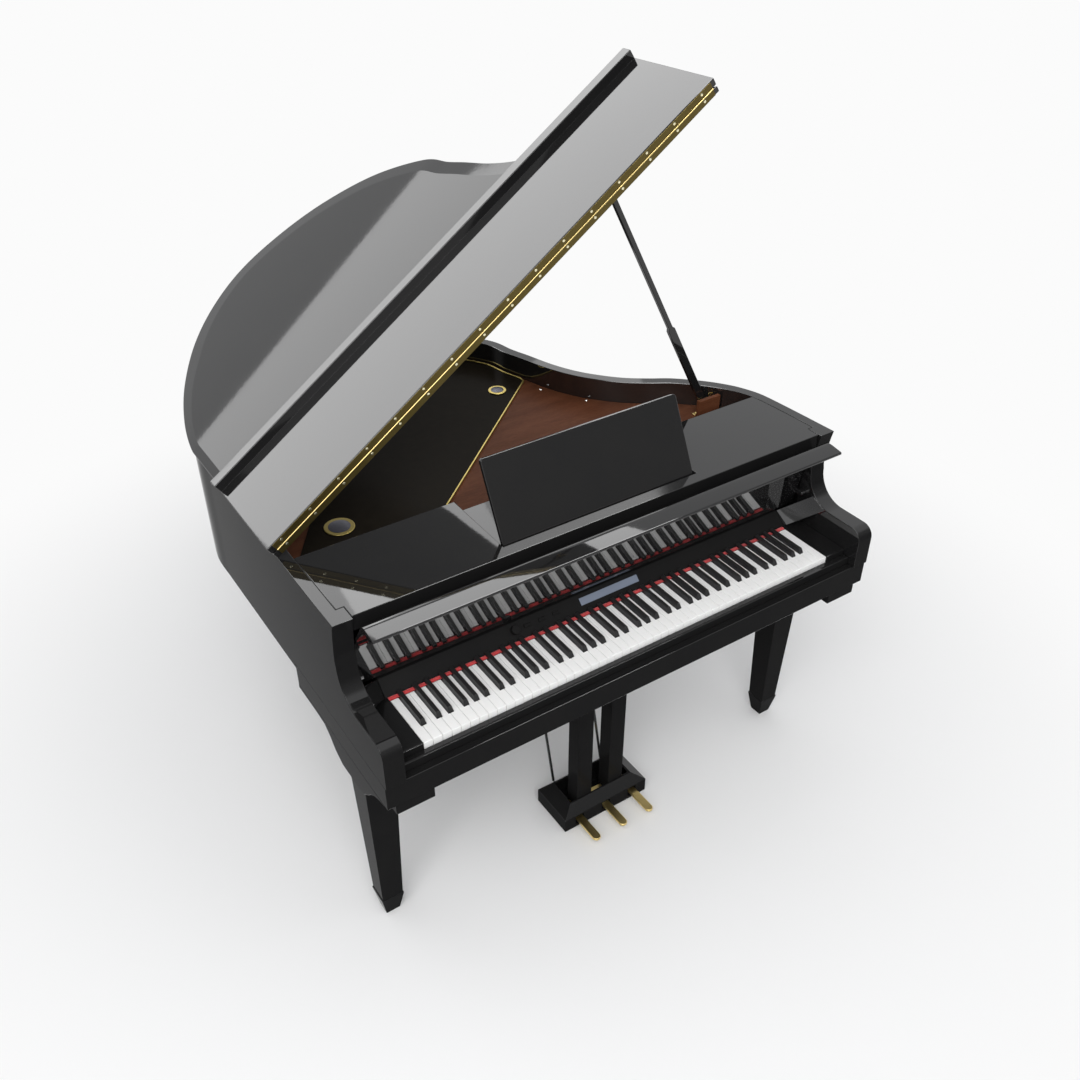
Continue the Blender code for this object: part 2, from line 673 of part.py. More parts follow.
def make_key_well():
    """Key slip, cheek blocks and the felt strip round the keys."""
    inner = CASE_HALF - ARM_WALL - SLIDE_GAP
    low = KEYBED_TOP + GAP
    settle(block("key_slip", (-inner, SLIP_FRONT, low), (inner, SLIP_REAR, SLIP_TOP)), BLACK_GLOSS)
    key_edge = KEYS_HALF + SLIDE_GAP
    for side, sign in (("left", -1), ("right", 1)):
        spans = sorted((sign * key_edge, sign * inner))
        settle(block(f"{side}_cheek_block", (spans[0], SLIP_REAR + GAP, low),
                     (spans[1], RAIL_FRONT, WHITE_TOP)), BLACK_GLOSS)
    settle(block("key_felt", (-key_edge, FELT_FRONT, FELT_LOW),
                 (key_edge, PANEL_FOOT[0] - GAP, FELT_TOP)), FELT)


def on_panel(run, height):
    """The side-view place of a point on the slanted panel face."""
    along = Vector((math.cos(PANEL_SLOPE), math.sin(PANEL_SLOPE)))
    out = Vector((-math.sin(PANEL_SLOPE), math.cos(PANEL_SLOPE)))
    return tuple(Vector(PANEL_FOOT) + along * run + out * height)


def panel_block(name, spans, runs, heights, group=PARTS):
    """A small box standing square on the slanted panel face."""
    profile = [on_panel(run, height) for run, height in
               ((runs[0], heights[0]), (runs[1], heights[0]),
                (runs[1], heights[1]), (runs[0], heights[1]))]
    return outline(name, profile, *spans, "side", group)


def make_control_panel():
    """The slanted panel behind the keys, its end blocks, display, knob and buttons."""
    profile = [PANEL_FOOT, PANEL_HEAD, (PANEL_REAR, PANEL_HEAD[1]), (PANEL_REAR, PANEL_FOOT[1])]
    half = PANEL_HALF - GAP
    panel = settle(outline("control_panel", profile, -half, half, "side"), BLACK_SATIN)
    low = CONTROL_RUN - BUTTON_SIZE[1] / 2
    high = CONTROL_RUN + BUTTON_SIZE[1] / 2
    for number, centre in enumerate(BUTTON_X):
        spans = (centre - BUTTON_SIZE[0] / 2, centre + BUTTON_SIZE[0] / 2)
        wide = (spans[0] - SLIDE_GAP, spans[1] + SLIDE_GAP)
        pocket = panel_block(f"cut_button_{number + 1}", wide, (low - SLIDE_GAP, high + SLIDE_GAP),
                             (-BUTTON_POCKET, OVERSHOOT), CUTTERS)
        combine(panel, settle(pocket, BLACK_SATIN), "DIFFERENCE")
        foot = BUTTON_TRAVEL + 2 * GAP - BUTTON_POCKET
        settle(panel_block(f"panel_button_{number + 1}", spans, (low, high),
                           (foot, BUTTON_STANDS)), BLACK_PLASTIC)
    settle(panel_block("display_window", DISPLAY_X, DISPLAY_RUN,
                       (GAP, GAP + DISPLAY_THICKNESS)), GLASS)
    knob = cylinder("volume_knob", (0, 0, GAP + KNOB_HEIGHT / 2), KNOB_RADIUS, KNOB_HEIGHT)
    knob.data.materials.append(BLACK_PLASTIC)
    knob.location = (KNOB_X, *on_panel(CONTROL_RUN, 0))
    knob.rotation_euler = (PANEL_SLOPE, 0, 0)
    knob.parent = ROOT
    x_outer = CASE_HALF - ARM_WALL - SLIDE_GAP
    for side, sign in (("left", -1), ("right", 1)):
        bm = bmesh.new()
        rings = [[bm.verts.new((sign * x, y, z)) for y, z in section]
                 for x, section in ((PANEL_HALF + GAP, END_INNER), (x_outer, END_OUTER))]
        bm.faces.new(rings[0])
        bm.faces.new(rings[1])
        for k in range(len(END_INNER)):
            after = (k + 1) % len(END_INNER)
            bm.faces.new((rings[0][k], rings[0][after], rings[1][after], rings[1][k]))
        settle(mesh_object(f"{side}_end_block", bm), BLACK_GLOSS)


def make_fallboard():
    """The hinged fallboard, standing open: it leans forward and bends over into a thin lip. A lug
    at each end carries it on the arm beside it."""
    profile = [FALL_FOOT] + smooth(FALL_BEND, FALL_STEPS) + FALL_BACK
    board = outline("fallboard", profile, -FALL_HALF, FALL_HALF, "side")
    origin = (0, *FALL_PIVOT)
    settle(board, BLACK_GLOSS, origin)
    lug = arc(FALL_PIVOT, FALL_LUG_RADIUS, 90, 270, 8)
    lug += [(FALL_LUG_REAR, lug[-1][1]), (FALL_LUG_REAR, lug[0][1])]
    for side, sign in (("left", -1), ("right", 1)):
        spans = sorted((sign * (FALL_HALF - OVERSHOOT), sign * (CASE_HALF - ARM_WALL - SLIDE_GAP)))
        guide = outline(f"join_{side}_fallboard_lug", lug, *spans, "side", CUTTERS)
        combine(board, settle(guide, BLACK_GLOSS, origin), "UNION")


def make_shelf_and_desk():
    """The top shelf with a pocket, and the music desk that folds down into it."""
    plan = plan_between(SHELF_FRONT, SHELF_REAR, RIM_WALL + SLIDE_GAP)
    shelf = settle(outline("music_shelf", plan, SHELF_BOTTOM, RIM_TOP), BLACK_GLOSS)
    pocket = block("cut_desk_pocket", (-POCKET_HALF, POCKET_FRONT, POCKET_FLOOR),
                   (POCKET_HALF, SHELF_REAR + OVERSHOOT, RIM_TOP + OVERSHOOT), CUTTERS)
    combine(shelf, settle(pocket, BLACK_GLOSS), "DIFFERENCE")
    for side, sign in (("left", -1), ("right", 1)):
        spans = sorted((sign * (CASE_HALF - ARM_WALL - SLIDE_GAP), sign * CASE_HALF))
        corner = block(f"cut_{side}_shelf_corner",
                       (spans[0], SHELF_FRONT - OVERSHOOT, SHELF_BOTTOM - OVERSHOOT),
                       (spans[1], ARM_REAR + SLIDE_GAP, RIM_TOP + OVERSHOOT), CUTTERS)
        combine(shelf, settle(corner, BLACK_GLOSS), "DIFFERENCE")

    lean = Matrix.Rotation(DESK_ANGLE, 3, "X")
    foot = DESK_THICKNESS / 2
    corner = DESK_CORNER
    plate = [(-DESK_HALF, -foot), (DESK_HALF, -foot)]
    plate += arc((DESK_HALF - corner, DESK_LENGTH - corner), corner, 0, 90, 6)
    plate += arc((-DESK_HALF + corner, DESK_LENGTH - corner), corner, 90, 180, 6)
    desk = outline("music_desk", plate, -DESK_THICKNESS / 2, DESK_THICKNESS / 2)
    desk.data.materials.append(BLACK_SATIN)
    desk.location = (0, *DESK_PIVOT)
    desk.rotation_euler = (DESK_ANGLE, 0, 0)
    desk.parent = ROOT

    seat = lean @ Vector((0, STRUT_SEAT, -STRUT_OFFSET))
    plate = [(-STRUT_HALF, -STRUT_BEFORE_PIVOT), (STRUT_HALF, -STRUT_BEFORE_PIVOT),
             (STRUT_HALF, STRUT_LENGTH), (-STRUT_HALF, STRUT_LENGTH)]
    strut = outline("desk_strut", plate, -STRUT_THICKNESS / 2, STRUT_THICKNESS / 2)
    strut.data.materials.append(BLACK_SATIN)
    strut.location = Vector((0, *DESK_PIVOT)) + seat
    strut.rotation_euler = (-DESK_ANGLE, 0, 0)
    strut.parent = ROOT


def ribbon(points, inner, outer):
    """A flat strip beside a path, between two distances to its right."""
    sides = ([], [])
    for k, point in enumerate(points):
        before = Vector(points[max(k - 1, 0)])
        after = Vector(points[min(k + 1, len(points) - 1)])
        along = (after - before).normalized()
        for side, distance in zip(sides, (inner, outer)):
            side.append((point[0] + along.y * distance, point[1] - along.x * distance))
    return sides[0] + sides[1][::-1]


def make_deck():
    """The wooden deck, the dark speaker panel on it with its trim, and two speakers."""
    low = DECK_TOP - DECK_THICKNESS
    deck = outline("soundboard_deck", plan_from(DECK_FRONT, RIM_WALL + SLIDE_GAP), low, DECK_TOP)
    settle(deck, WOOD)
    foot = DECK_TOP + GAP
    follow = [(x, y) for x, y in rim_path(RIM_WALL + SPEAKER_INSET)
              if y > SPEAKER_FRONT[-1][1] + OVERSHOOT and x > SPEAKER_BASS]
    plan = SPEAKER_FRONT + follow + [(SPEAKER_BASS, follow[-1][1])]
    panel = settle(outline("speaker_panel", plan, foot, foot + PANEL_SHEET), BLACK_SATIN)
    edge = SPEAKER_FRONT[2:] + [(x, y) for x, y in follow if y < TRIM_REAR and x > 0]
    settle(outline("speaker_trim", ribbon(edge, GAP, GAP + TRIM_WIDTH), foot,
                   foot + TRIM_HEIGHT), BRASS)
    top = foot + PANEL_SHEET + GAP
    for name, (x, y, outer, inner) in (("front_speaker", FRONT_SPEAKER),
                                       ("rear_speaker", REAR_SPEAKER)):
        barrel = outer - SPEAKER_RING
        magnet = outer * SPEAKER_MAGNET
        profile = [(0, -0.009), (inner * SPEAKER_CAP, -0.010), (inner, -0.001),
                   (inner, SPEAKER_FLANGE),
                   (outer, SPEAKER_FLANGE), (outer, 0), (barrel, 0), (barrel, -0.024),
                   (magnet, -0.042), (magnet, -SPEAKER_DEPTH), (0, -SPEAKER_DEPTH)]
        speaker = turned(name, profile, (x, y, top))
        speaker.data.materials.append(BRASS)
        for piece, tag in ((deck, "deck"), (panel, "panel")):
            hole = cylinder(f"cut_{name}_{tag}", (x, y, DECK_TOP), barrel + SLIDE_GAP, 0.08, "Z",
                            32, CUTTERS)
            combine(piece, settle(hole, BLACK_SATIN), "DIFFERENCE")


LID_ORIGIN = Vector((-CASE_HALF, 0, RIM_TOP))


def lid_place(obj, material, pivot=(0, 0, 0)):
    """Puts a piece drawn on the closed lid in its place on the open lid."""
    obj.data.materials.clear()
    obj.data.materials.append(material)
    obj.data.transform(Matrix.Translation(-Vector(pivot)))
    obj.location = LID_ORIGIN + Matrix.Rotation(-LID_ANGLE, 3, "Y") @ Vector(pivot)
    obj.rotation_euler = (0, -LID_ANGLE, 0)
    obj.parent = ROOT
    return obj


def make_lid():
    """The main lid on its prop, the front lid folded back on it, and the long hinge."""
    edge = 0.0008
    overhang = LID_CORNER - CASE_HALF - treble_x(LID_FRONT)
    plan = []
    for x, y in plan_from(LID_FRONT, 0):
        share = max(0, 1 - (y - LID_FRONT) / LID_OVERHANG_REACH) if x > 0 else 0
        plan.append((max(x + CASE_HALF + overhang * share ** 2, edge), y))
    lid_place(outline("main_lid", plan, LID_LIFT, LID_THICKNESS), BLACK_GLOSS)

    axis_y, axis_v = FLAP_AXIS
    pivot = (0, axis_y, axis_v)
    low = LID_THICKNESS + FLAP_LIFT
    high = low + LID_THICKNESS
    tip = 2 * axis_y - LIP_BACK + LIP_THICKNESS
    profile = [(LID_FRONT, low), (tip, low), (tip, high + LIP_HEIGHT),
               (tip - LIP_THICKNESS, high + LIP_HEIGHT), (tip - LIP_THICKNESS, high),
               (LID_FRONT, high)]
    flap = lid_place(outline("front_lid", profile, edge, LID_CORNER + OVERSHOOT, "side"),
                     BLACK_GLOSS, pivot)
    front, rear = LID_FRONT - OVERSHOOT, tip + OVERSHOOT
    plan = [(-OVERSHOOT, front), (LID_CORNER, front), (LID_CORNER, LID_FRONT),
            (LID_FOLDED_CORNER, tip), (LID_FOLDED_CORNER, rear), (-OVERSHOOT, rear)]
    guide = outline("cut_front_lid_plan", plan, 0, high + LIP_HEIGHT + OVERSHOOT, "plan", CUTTERS)
    combine(flap, lid_place(guide, BLACK_GLOSS, pivot), "INTERSECT")

    leaf_face = (LID_FRONT - GAP - LEAF_THICKNESS, LID_FRONT - GAP)
    knuckle_low = axis_v - 0.0012
    leaf = block("lid_hinge_leaf", (LEAF_SPAN[0], leaf_face[0], knuckle_low - LEAF_HEIGHT),
                 (LEAF_SPAN[1], leaf_face[1], knuckle_low))
    length = LEAF_SPAN[1] - LEAF_SPAN[0]
    centre = ((LEAF_SPAN[0] + LEAF_SPAN[1]) / 2, axis_y, axis_v)
    knuckle = cylinder("join_knuckle", centre, KNUCKLE_RADIUS, length, "X", 12, CUTTERS)
    combine(lid_place(leaf, BRASS), lid_place(knuckle, BRASS), "UNION")
    upper = axis_v + KNUCKLE_RADIUS + 0.0006
    other = block("front_lid_hinge_leaf", (LEAF_SPAN[0], leaf_face[0], upper),
                  (LEAF_SPAN[1], leaf_face[1], upper + LEAF_HEIGHT - 0.001))
    lid_place(other, BRASS, pivot)


def make_prop():
    """The lid prop, its pivot bracket and board, and the cup under the lid that takes its tip."""
    across = Vector((-math.sin(LID_ANGLE), 0, math.cos(LID_ANGLE)))
    along = Vector((-math.cos(PROP_ANGLE), 0, math.sin(PROP_ANGLE)))
    pivot = Vector(PROP_PIVOT)
    reach = -(pivot - LID_ORIGIN).dot(across) / along.dot(across)
    length = reach - PROP_SHORT
    wide, slim = PROP_WIDE, PROP_SLIM
    shape = [(PROP_SLEEVE, -wide), (PROP_SLEEVE + 0.008, -slim), (length, -slim), (length, slim),
             (PROP_SLEEVE + 0.008, slim), (PROP_SLEEVE, wide)]
    shape += arc((0, 0), wide, 90, 270, 8)
    prop = outline("lid_prop", shape, -PROP_HALF, PROP_HALF, "front")
    prop.data.materials.append(BLACK_GLOSS)
    prop.location = pivot
    prop.rotation_euler = (0, PROP_ANGLE - math.pi, 0)
    prop.parent = ROOT
    hole = cylinder("cut_prop_hole", PROP_PIVOT, PROP_PIN_RADIUS + GAP, 0.05, "Y", 24, CUTTERS)
    combine(prop, settle(hole, BLACK_GLOSS), "DIFFERENCE")

    (x0, y0), (x1, y1) = PROP_BOARD
    foot = DECK_TOP + GAP
    settle(block("prop_board", (x0, y0, foot), (x1, y1, PROP_BOARD_TOP)), WOOD)
    face = y1 + GAP
    back = face + BRACKET_THICKNESS
    px, pz = PROP_PIVOT[0], PROP_PIVOT[2]
    left, right = px - BRACKET_REACH[0], px + BRACKET_REACH[1]
    low = foot + BRACKET_STEP
    eye = PROP_PIN_RADIUS * 3
    tongue = [(left, foot), (right, foot), (right, low), (px + eye, pz + eye),
              (px - eye, pz + eye), (left, low)]
    bracket = settle(outline("prop_bracket", tongue, face, back, "front"), BRASS)
    sole = block("join_bracket_foot", (left, face + 0.001, foot),
                 (right, back + BRACKET_FOOT, foot + BRACKET_THICKNESS), CUTTERS)
    middle = (back - 0.001 + PROP_PIN_REAR) / 2
    pin = cylinder("join_prop_pin", (px, middle, pz), PROP_PIN_RADIUS,
                   PROP_PIN_REAR - back + 0.001, "Y", 24, CUTTERS)
    for other in (sole, pin):
        combine(bracket, settle(other, BRASS), "UNION")

    tip = pivot + along * reach
    seat_u = (tip - LID_ORIGIN).dot(Vector((math.cos(LID_ANGLE), 0, math.sin(LID_ANGLE))))
    inside = PROP_HALF + CUP_CLEARANCE
    outside = inside + CUP_WALL
    y = PROP_PIVOT[1]
    top = LID_LIFT - GAP
    channel = [(y - outside, top), (y + outside, top), (y + outside, top - CUP_DEPTH),
               (y + inside, top - CUP_DEPTH), (y + inside, top - CUP_BASE),
               (y - inside, top - CUP_BASE), (y - inside, top - CUP_DEPTH),
               (y - outside, top - CUP_DEPTH)]
    cup = outline("prop_cup", channel, seat_u - CUP_HALF_LENGTH, seat_u + CUP_HALF_LENGTH, "side")
    lid_place(cup, BRASS)


def make_lyre():
    """The pedal lyre: box, two posts, three pedals and two stay rods."""
    outer = stack("lyre_box", [
        (-LYRE_HALF, LYRE_HALF, *LYRE_Y, LYRE_LOW),
        (-LYRE_HALF, LYRE_HALF, *LYRE_Y, LYRE_SHOULDER),
        (-LYRE_MOUTH_HALF, LYRE_MOUTH_HALF, *LYRE_MOUTH_Y, LYRE_TOP)])
    settle(outer, BLACK_GLOSS)
    wall = LYRE_WALL
    inner_y = (LYRE_Y[0] + wall, LYRE_Y[1] - wall)
    mouth_y = (LYRE_MOUTH_Y[0] + wall, LYRE_MOUTH_Y[1] - wall)
    room = stack("cut_lyre_room", [
        (-LYRE_HALF + wall, LYRE_HALF - wall, *inner_y, LYRE_LOW + wall),
        (-LYRE_HALF + wall, LYRE_HALF - wall, *inner_y, LYRE_SHOULDER - 0.002),
        (-LYRE_MOUTH_HALF + wall, LYRE_MOUTH_HALF - wall, *mouth_y, LYRE_TOP - 0.002),
        (-LYRE_MOUTH_HALF + wall, LYRE_MOUTH_HALF - wall, *mouth_y, LYRE_TOP + 0.01)], CUTTERS)
    combine(outer, settle(room, BLACK_GLOSS), "DIFFERENCE")

    side_x = POST_X[1] + SLIDE_GAP + PEDAL_WIDTH / 2
    half = PEDAL_WIDTH / 2
    for name, centre in (("left_pedal", -side_x), ("middle_pedal", 0), ("right_pedal", side_x)):
        slot = block(f"cut_{name}_slot",
                     (centre - PEDAL_SLOT_HALF, LYRE_Y[0] - 0.01, PEDAL_SLOT_Z[0]),
                     (centre + PEDAL_SLOT_HALF, LYRE_Y[0] + wall + 0.005, PEDAL_SLOT_Z[1]), CUTTERS)
        combine(outer, settle(slot, BLACK_GLOSS), "DIFFERENCE")
        shape = arc((centre, PEDAL_FRONT + half), half, 180, 360, 10)
        if centre == 0:
            arm = POST_X[0] - SLIDE_GAP
            shape += [(half, PEDAL_ARM_FRONT), (arm, PEDAL_ARM_FRONT), (arm, PEDAL_REAR),
                      (-arm, PEDAL_REAR), (-arm, PEDAL_ARM_FRONT), (-half, PEDAL_ARM_FRONT)]
        else:
            shape += [(centre + half, PEDAL_REAR), (centre - half, PEDAL_REAR)]
        pivot = (centre, PEDAL_PIVOT_Y, sum(PEDAL_Z) / 2)
        settle(outline(name, shape, *PEDAL_Z), BRASS, pivot)

    lean = math.atan2(ROD_HEAD_Y - ROD_FOOT[0], KEYBED_BOTTOM - ROD_FOOT[1])
    rod_head = (ROD_HEAD_Y, KEYBED_BOTTOM - GAP - ROD_RADIUS * math.sin(lean))
    for side, sign in (("left", -1), ("right", 1)):
        spans = sorted(sign * x for x in POST_X)
        settle(block(f"{side}_lyre_post", (spans[0], POST_Y[0], LYRE_LOW + wall + GAP),
                     (spans[1], POST_Y[1], KEYBED_BOTTOM - GAP)), BLACK_GLOSS)
        stay = rod(f"{side}_lyre_rod", [(sign * ROD_X, *ROD_FOOT), (sign * ROD_X, *rod_head)],
                   ROD_RADIUS)
        settle(stay, BLACK_GLOSS)


def centre_on_floor():
    """Moves the whole piano so that the origin is under the middle of its bounding box."""
    bpy.context.view_layer.update()
    depsgraph = bpy.context.evaluated_depsgraph_get()
    corners = []
    for obj in PARTS.objects:
        if obj.type == "MESH" and not obj.hide_render:
            solid = obj.evaluated_get(depsgraph)
            corners += [solid.matrix_world @ vertex.co for vertex in solid.data.vertices]
    low = [min(corner[k] for corner in corners) for k in range(3)]
    high = [max(corner[k] for corner in corners) for k in range(3)]
    ROOT.location = (-(low[0] + high[0]) / 2, -(low[1] + high[1]) / 2, -low[2])
    print("origin moved by", [round(value, 6) for value in ROOT.location])


make_rim()
make_arms()
board_bottom = make_underframe()
make_legs(board_bottom)
make_keys()
make_key_well()
make_control_panel()
make_fallboard()
make_shelf_and_desk()
make_deck()
make_lid()
make_prop()
make_lyre()
centre_on_floor()
for part in PARTS.objects:
    if part.type == "MESH" and part.data.polygons:
        part.data.shade_smooth()
        part.data.set_sharp_from_angle(angle=math.radians(30))
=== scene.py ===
"""How the digital grand piano looks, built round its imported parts, in metres."""

import json
import math

import bmesh
import bpy
from mathutils import Matrix, Vector

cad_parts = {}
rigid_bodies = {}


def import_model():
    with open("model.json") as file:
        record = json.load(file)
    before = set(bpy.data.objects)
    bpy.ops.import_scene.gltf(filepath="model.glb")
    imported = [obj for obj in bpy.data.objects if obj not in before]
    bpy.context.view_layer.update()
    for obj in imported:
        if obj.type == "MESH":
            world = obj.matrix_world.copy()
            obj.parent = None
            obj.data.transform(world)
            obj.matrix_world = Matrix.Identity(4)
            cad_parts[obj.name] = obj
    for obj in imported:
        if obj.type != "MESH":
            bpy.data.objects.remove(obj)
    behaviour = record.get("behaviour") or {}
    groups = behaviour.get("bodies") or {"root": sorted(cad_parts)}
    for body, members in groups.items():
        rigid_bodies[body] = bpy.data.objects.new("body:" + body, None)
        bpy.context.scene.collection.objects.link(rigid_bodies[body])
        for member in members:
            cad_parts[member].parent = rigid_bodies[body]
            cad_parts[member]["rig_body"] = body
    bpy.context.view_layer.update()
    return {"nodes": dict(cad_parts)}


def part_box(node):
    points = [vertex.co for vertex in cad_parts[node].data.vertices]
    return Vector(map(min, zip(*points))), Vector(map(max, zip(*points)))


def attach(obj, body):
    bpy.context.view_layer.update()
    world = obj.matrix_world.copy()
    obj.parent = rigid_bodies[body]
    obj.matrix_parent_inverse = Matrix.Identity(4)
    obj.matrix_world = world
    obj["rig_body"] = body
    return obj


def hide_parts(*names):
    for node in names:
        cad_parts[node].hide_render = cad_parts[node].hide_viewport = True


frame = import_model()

# Outer rim and arms: a laminated wooden wall bent round the tail, which comes forward beside the
# keys as two arms with a rounded nose. Black polyester lacquer, polished until it mirrors. The
# wall is one glued piece, so rim and arms are drawn as one here.
bed_low, bed_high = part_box("keybed")
KEYBED_FRONT = 0.039
MIDDLE = (bed_low.x + bed_high.x) / 2
FRONT = bed_low.y + KEYBED_FRONT
BED_TOP = bed_high.z

WHITE_COUNT = 52
WHITE_PITCH = 0.0236
ARM_WALL = 0.0486
RIM_WALL = 0.030
CASE_HALF = WHITE_COUNT * WHITE_PITCH / 2 + 0.0678 + ARM_WALL
RIM_TOP = 1.024
RIM_BOTTOM = 0.690
RIM_FRONT = [(0.154, 0.902), (0.157, 0.925), (0.153, 0.965), (0.149, 0.995), (0.1427, 1.024)]
ARM_TOP = 0.818
ARM_FRONT = -0.044
ARM_REAR = 0.190
NOSE_RADIUS = 0.033
HOLLOW_CENTRE = (0.070, 0.902)
HOLLOW_RADIUS = 0.084
TREBLE_CURVE = [
    (0.7300, 0.150), (0.7255, 0.250), (0.7205, 0.340), (0.7140, 0.4075), (0.6985, 0.457),
    (0.6765, 0.501), (0.634, 0.558), (0.568, 0.6226), (0.510, 0.661), (0.454, 0.703),
    (0.406, 0.755), (0.3635, 0.816), (0.3295, 0.8916), (0.303, 0.982), (0.284, 1.042),
    (0.258, 1.140), (0.150, 1.278), (0.000, 1.380), (-0.155, 1.436), (-0.300, 1.452),
    (-0.430, 1.417), (-0.540, 1.343), (-0.634, 1.227), (-0.695, 1.102), (-0.727, 0.981),
    (-0.730, 0.880),
]
CURVE_STEPS = 8
EASED = 0.0012
HOLLOW_SHARE = 0.15
LEAST_EASED = 20.0


class Wire:
    """The outgoing socket of a node, which can be added to, multiplied and so on."""

    def __init__(self, graph, socket):
        self.graph, self.socket = graph, socket

    def math(self, operation, *values):
        return self.graph.node("ShaderNodeMath", {"operation": operation},
                               dict(enumerate(values)))

    def __add__(self, other):
        return self.math("ADD", self, other)

    def __radd__(self, other):
        return self.math("ADD", other, self)

    def __sub__(self, other):
        return self.math("SUBTRACT", self, other)

    def __rsub__(self, other):
        return self.math("SUBTRACT", other, self)

    def __mul__(self, other):
        return self.math("MULTIPLY", self, other)

    def __rmul__(self, other):
        return self.math("MULTIPLY", other, self)

    def __truediv__(self, other):
        return self.math("DIVIDE", self, other)

    def __gt__(self, other):
        return self.math("GREATER_THAN", self, other)

    def __lt__(self, other):
        return self.math("LESS_THAN", self, other)

    def __mod__(self, other):
        return self.math("FLOORED_MODULO", self, other)

    def __pow__(self, other):
        return self.math("POWER", self, other)


class Graph:
    """A node tree that is built from Python."""

    def __init__(self, tree):
        self.tree = tree

    def node(self, kind, settings=None, inputs=None, output=0):
        """One node: its settings first, then its sockets, each a value or a Wire."""
        made = self.tree.nodes.new(kind)
        for key, value in (settings or {}).items():
            if key == "stops":
                ramp = made.color_ramp
                while len(ramp.elements) < len(value):
                    ramp.elements.new(0.5)
                for element, (place, colour) in zip(ramp.elements, value):
                    element.position = place
                    element.color = (*colour, 1)
            else:
                setattr(made, key, value)
        self.join(made, inputs or {})
        return Wire(self, made.outputs[output])

    def join(self, node, inputs):
        """Gives a node's sockets their values or links."""
        for key, value in inputs.items():
            socket = node.inputs[key]
            if isinstance(value, Wire):
                self.tree.links.new(value.socket, socket)
            else:
                socket.default_value = value


class Finish(Graph):
    """A material: one Principled shader and what feeds it."""

    def __init__(self, name, roughness, metallic=0.0, **constant):
        self.material = bpy.data.materials.new(name)
        self.material.use_nodes = True
        super().__init__(self.material.node_tree)
        self.shader = self.tree.nodes["Principled BSDF"]
        self.shader.inputs["Roughness"].default_value = roughness
        self.shader.inputs["Metallic"].default_value = metallic
        for key, value in constant.items():
            self.shader.inputs[key.replace("_", " ")].default_value = value
        self.place = self.node("ShaderNodeTexCoord", output="Object")

    def stretched(self, x, y, z, turn=(0, 0, 0)):
        """The object's coordinates, scaled along its axes."""
        return self.node("ShaderNodeMapping", None, {
            "Vector": self.place, "Scale": (x, y, z), "Rotation": turn})

    def noise(self, scale, detail=3.0, rough=0.5, place=None):
        """Cloudy variation between 0 and 1."""
        return self.node("ShaderNodeTexNoise", None, {
            "Vector": place or self.place, "Scale": scale, "Detail": detail,
            "Roughness": rough})

    def blend(self, share, first, second):
        """A colour between two others."""
        return self.node("ShaderNodeMix", {"data_type": "RGBA"}, {
            0: share, 6: first if isinstance(first, Wire) else (*first, 1),
            7: second if isinstance(second, Wire) else (*second, 1)}, 2)

    def relief(self, height, distance, strength=1.0):
        """Fine relief of the surface."""
        return self.node("ShaderNodeBump", None, {
            "Height": height, "Distance": distance, "Strength": strength})

    def feed(self, **links):
        """Links colour, roughness and relief to the shader, and gives the material."""
        self.join(self.shader, {key.replace("_", " "): link for key, link in links.items()})
        return self.material


def black_lacquer(name, ior, upright=None):
    """Polished black polyester: faint haze from wiping, and a trace of orange peel. With a
    second value the upright faces take that one, a far weaker reflection: painted shade that
    stands for the dark surroundings they would mirror."""
    finish = Finish(name, 0.04, IOR=ior)
    haze = finish.noise(7.0, 4.0, 0.6)
    wiped = finish.noise(60.0, 2.0, 0.5, finish.stretched(1, 6, 1))
    links = {
        "Base_Color": finish.blend(haze, (0.0085, 0.0085, 0.009), (0.0125, 0.0122, 0.012)),
        "Roughness": 0.012 + haze * 0.030 + wiped * 0.018,
        "Normal": finish.relief(finish.noise(95.0, 1.0), 0.00001)}
    # Upright faces take the weaker reflection: painted shade for the dark surroundings they would
    # mirror.
    if upright:
        level, side = Wire(finish, finish.shader.outputs[0]), finish.node(
            "ShaderNodeBsdfPrincipled", None, {"IOR": upright, **{
                key.replace("_", " "): link for key, link in links.items()}})
        facing = finish.node("ShaderNodeTexCoord", output="Normal")
        rise = finish.node("ShaderNodeSeparateXYZ", None, {0: facing}, 2)
        share = finish.node("ShaderNodeMapRange", {"interpolation_type": "SMOOTHSTEP"}, {
            "Value": rise.math("ABSOLUTE", rise), "From Min": 0.35, "From Max": 0.75})
        finish.join(finish.tree.nodes["Material Output"], {"Surface": finish.node(
            "ShaderNodeMixShader", None, {0: share, 1: side, 2: level})})
    return finish.feed(**links)


LACQUER = black_lacquer("polished_black_lacquer", 1.5)
# Its upright faces reflect far less than its level ones: painted shade.
CASE_LACQUER = black_lacquer("case_black_lacquer", 1.5, 1.06)
# A copy that reflects far more strongly: a painted reflection that lightens the inner case faces.
INNER_LACQUER = black_lacquer("inner_case_lacquer", 2.2)


def smooth(points, steps):
    """Points on a smooth curve through the given ones."""
    guides = [points[0]] + list(points) + [points[-1]]
    result = []
    for k in range(1, len(guides) - 2):
        p0, p1, p2, p3 = (Vector(guides[k + shift]) for shift in (-1, 0, 1, 2))
        for step in range(steps):
            t = step / steps
            result.append((2 * p1 + (p2 - p0) * t + (2 * p0 - 5 * p1 + 4 * p2 - p3) * t * t
                           + (3 * p1 - p0 - 3 * p2 + p3) * t ** 3) / 2)
    result.append(Vector(points[-1]))
    return result


def rim_path(inset, steps=CURVE_STEPS):
    """The case's plan, from the treble front round the tail to the bass front."""
    outer = smooth(TREBLE_CURVE, steps)
    path = []
    for k, point in enumerate(outer):
        along = (outer[min(k + 1, len(outer) - 1)] - outer[max(k - 1, 0)]).normalized()
        path.append(Vector((point.x - along.y * inset, point.y + along.x * inset)))
    path[0].x = CASE_HALF - inset
    path[-1].x = -CASE_HALF + inset
    return path


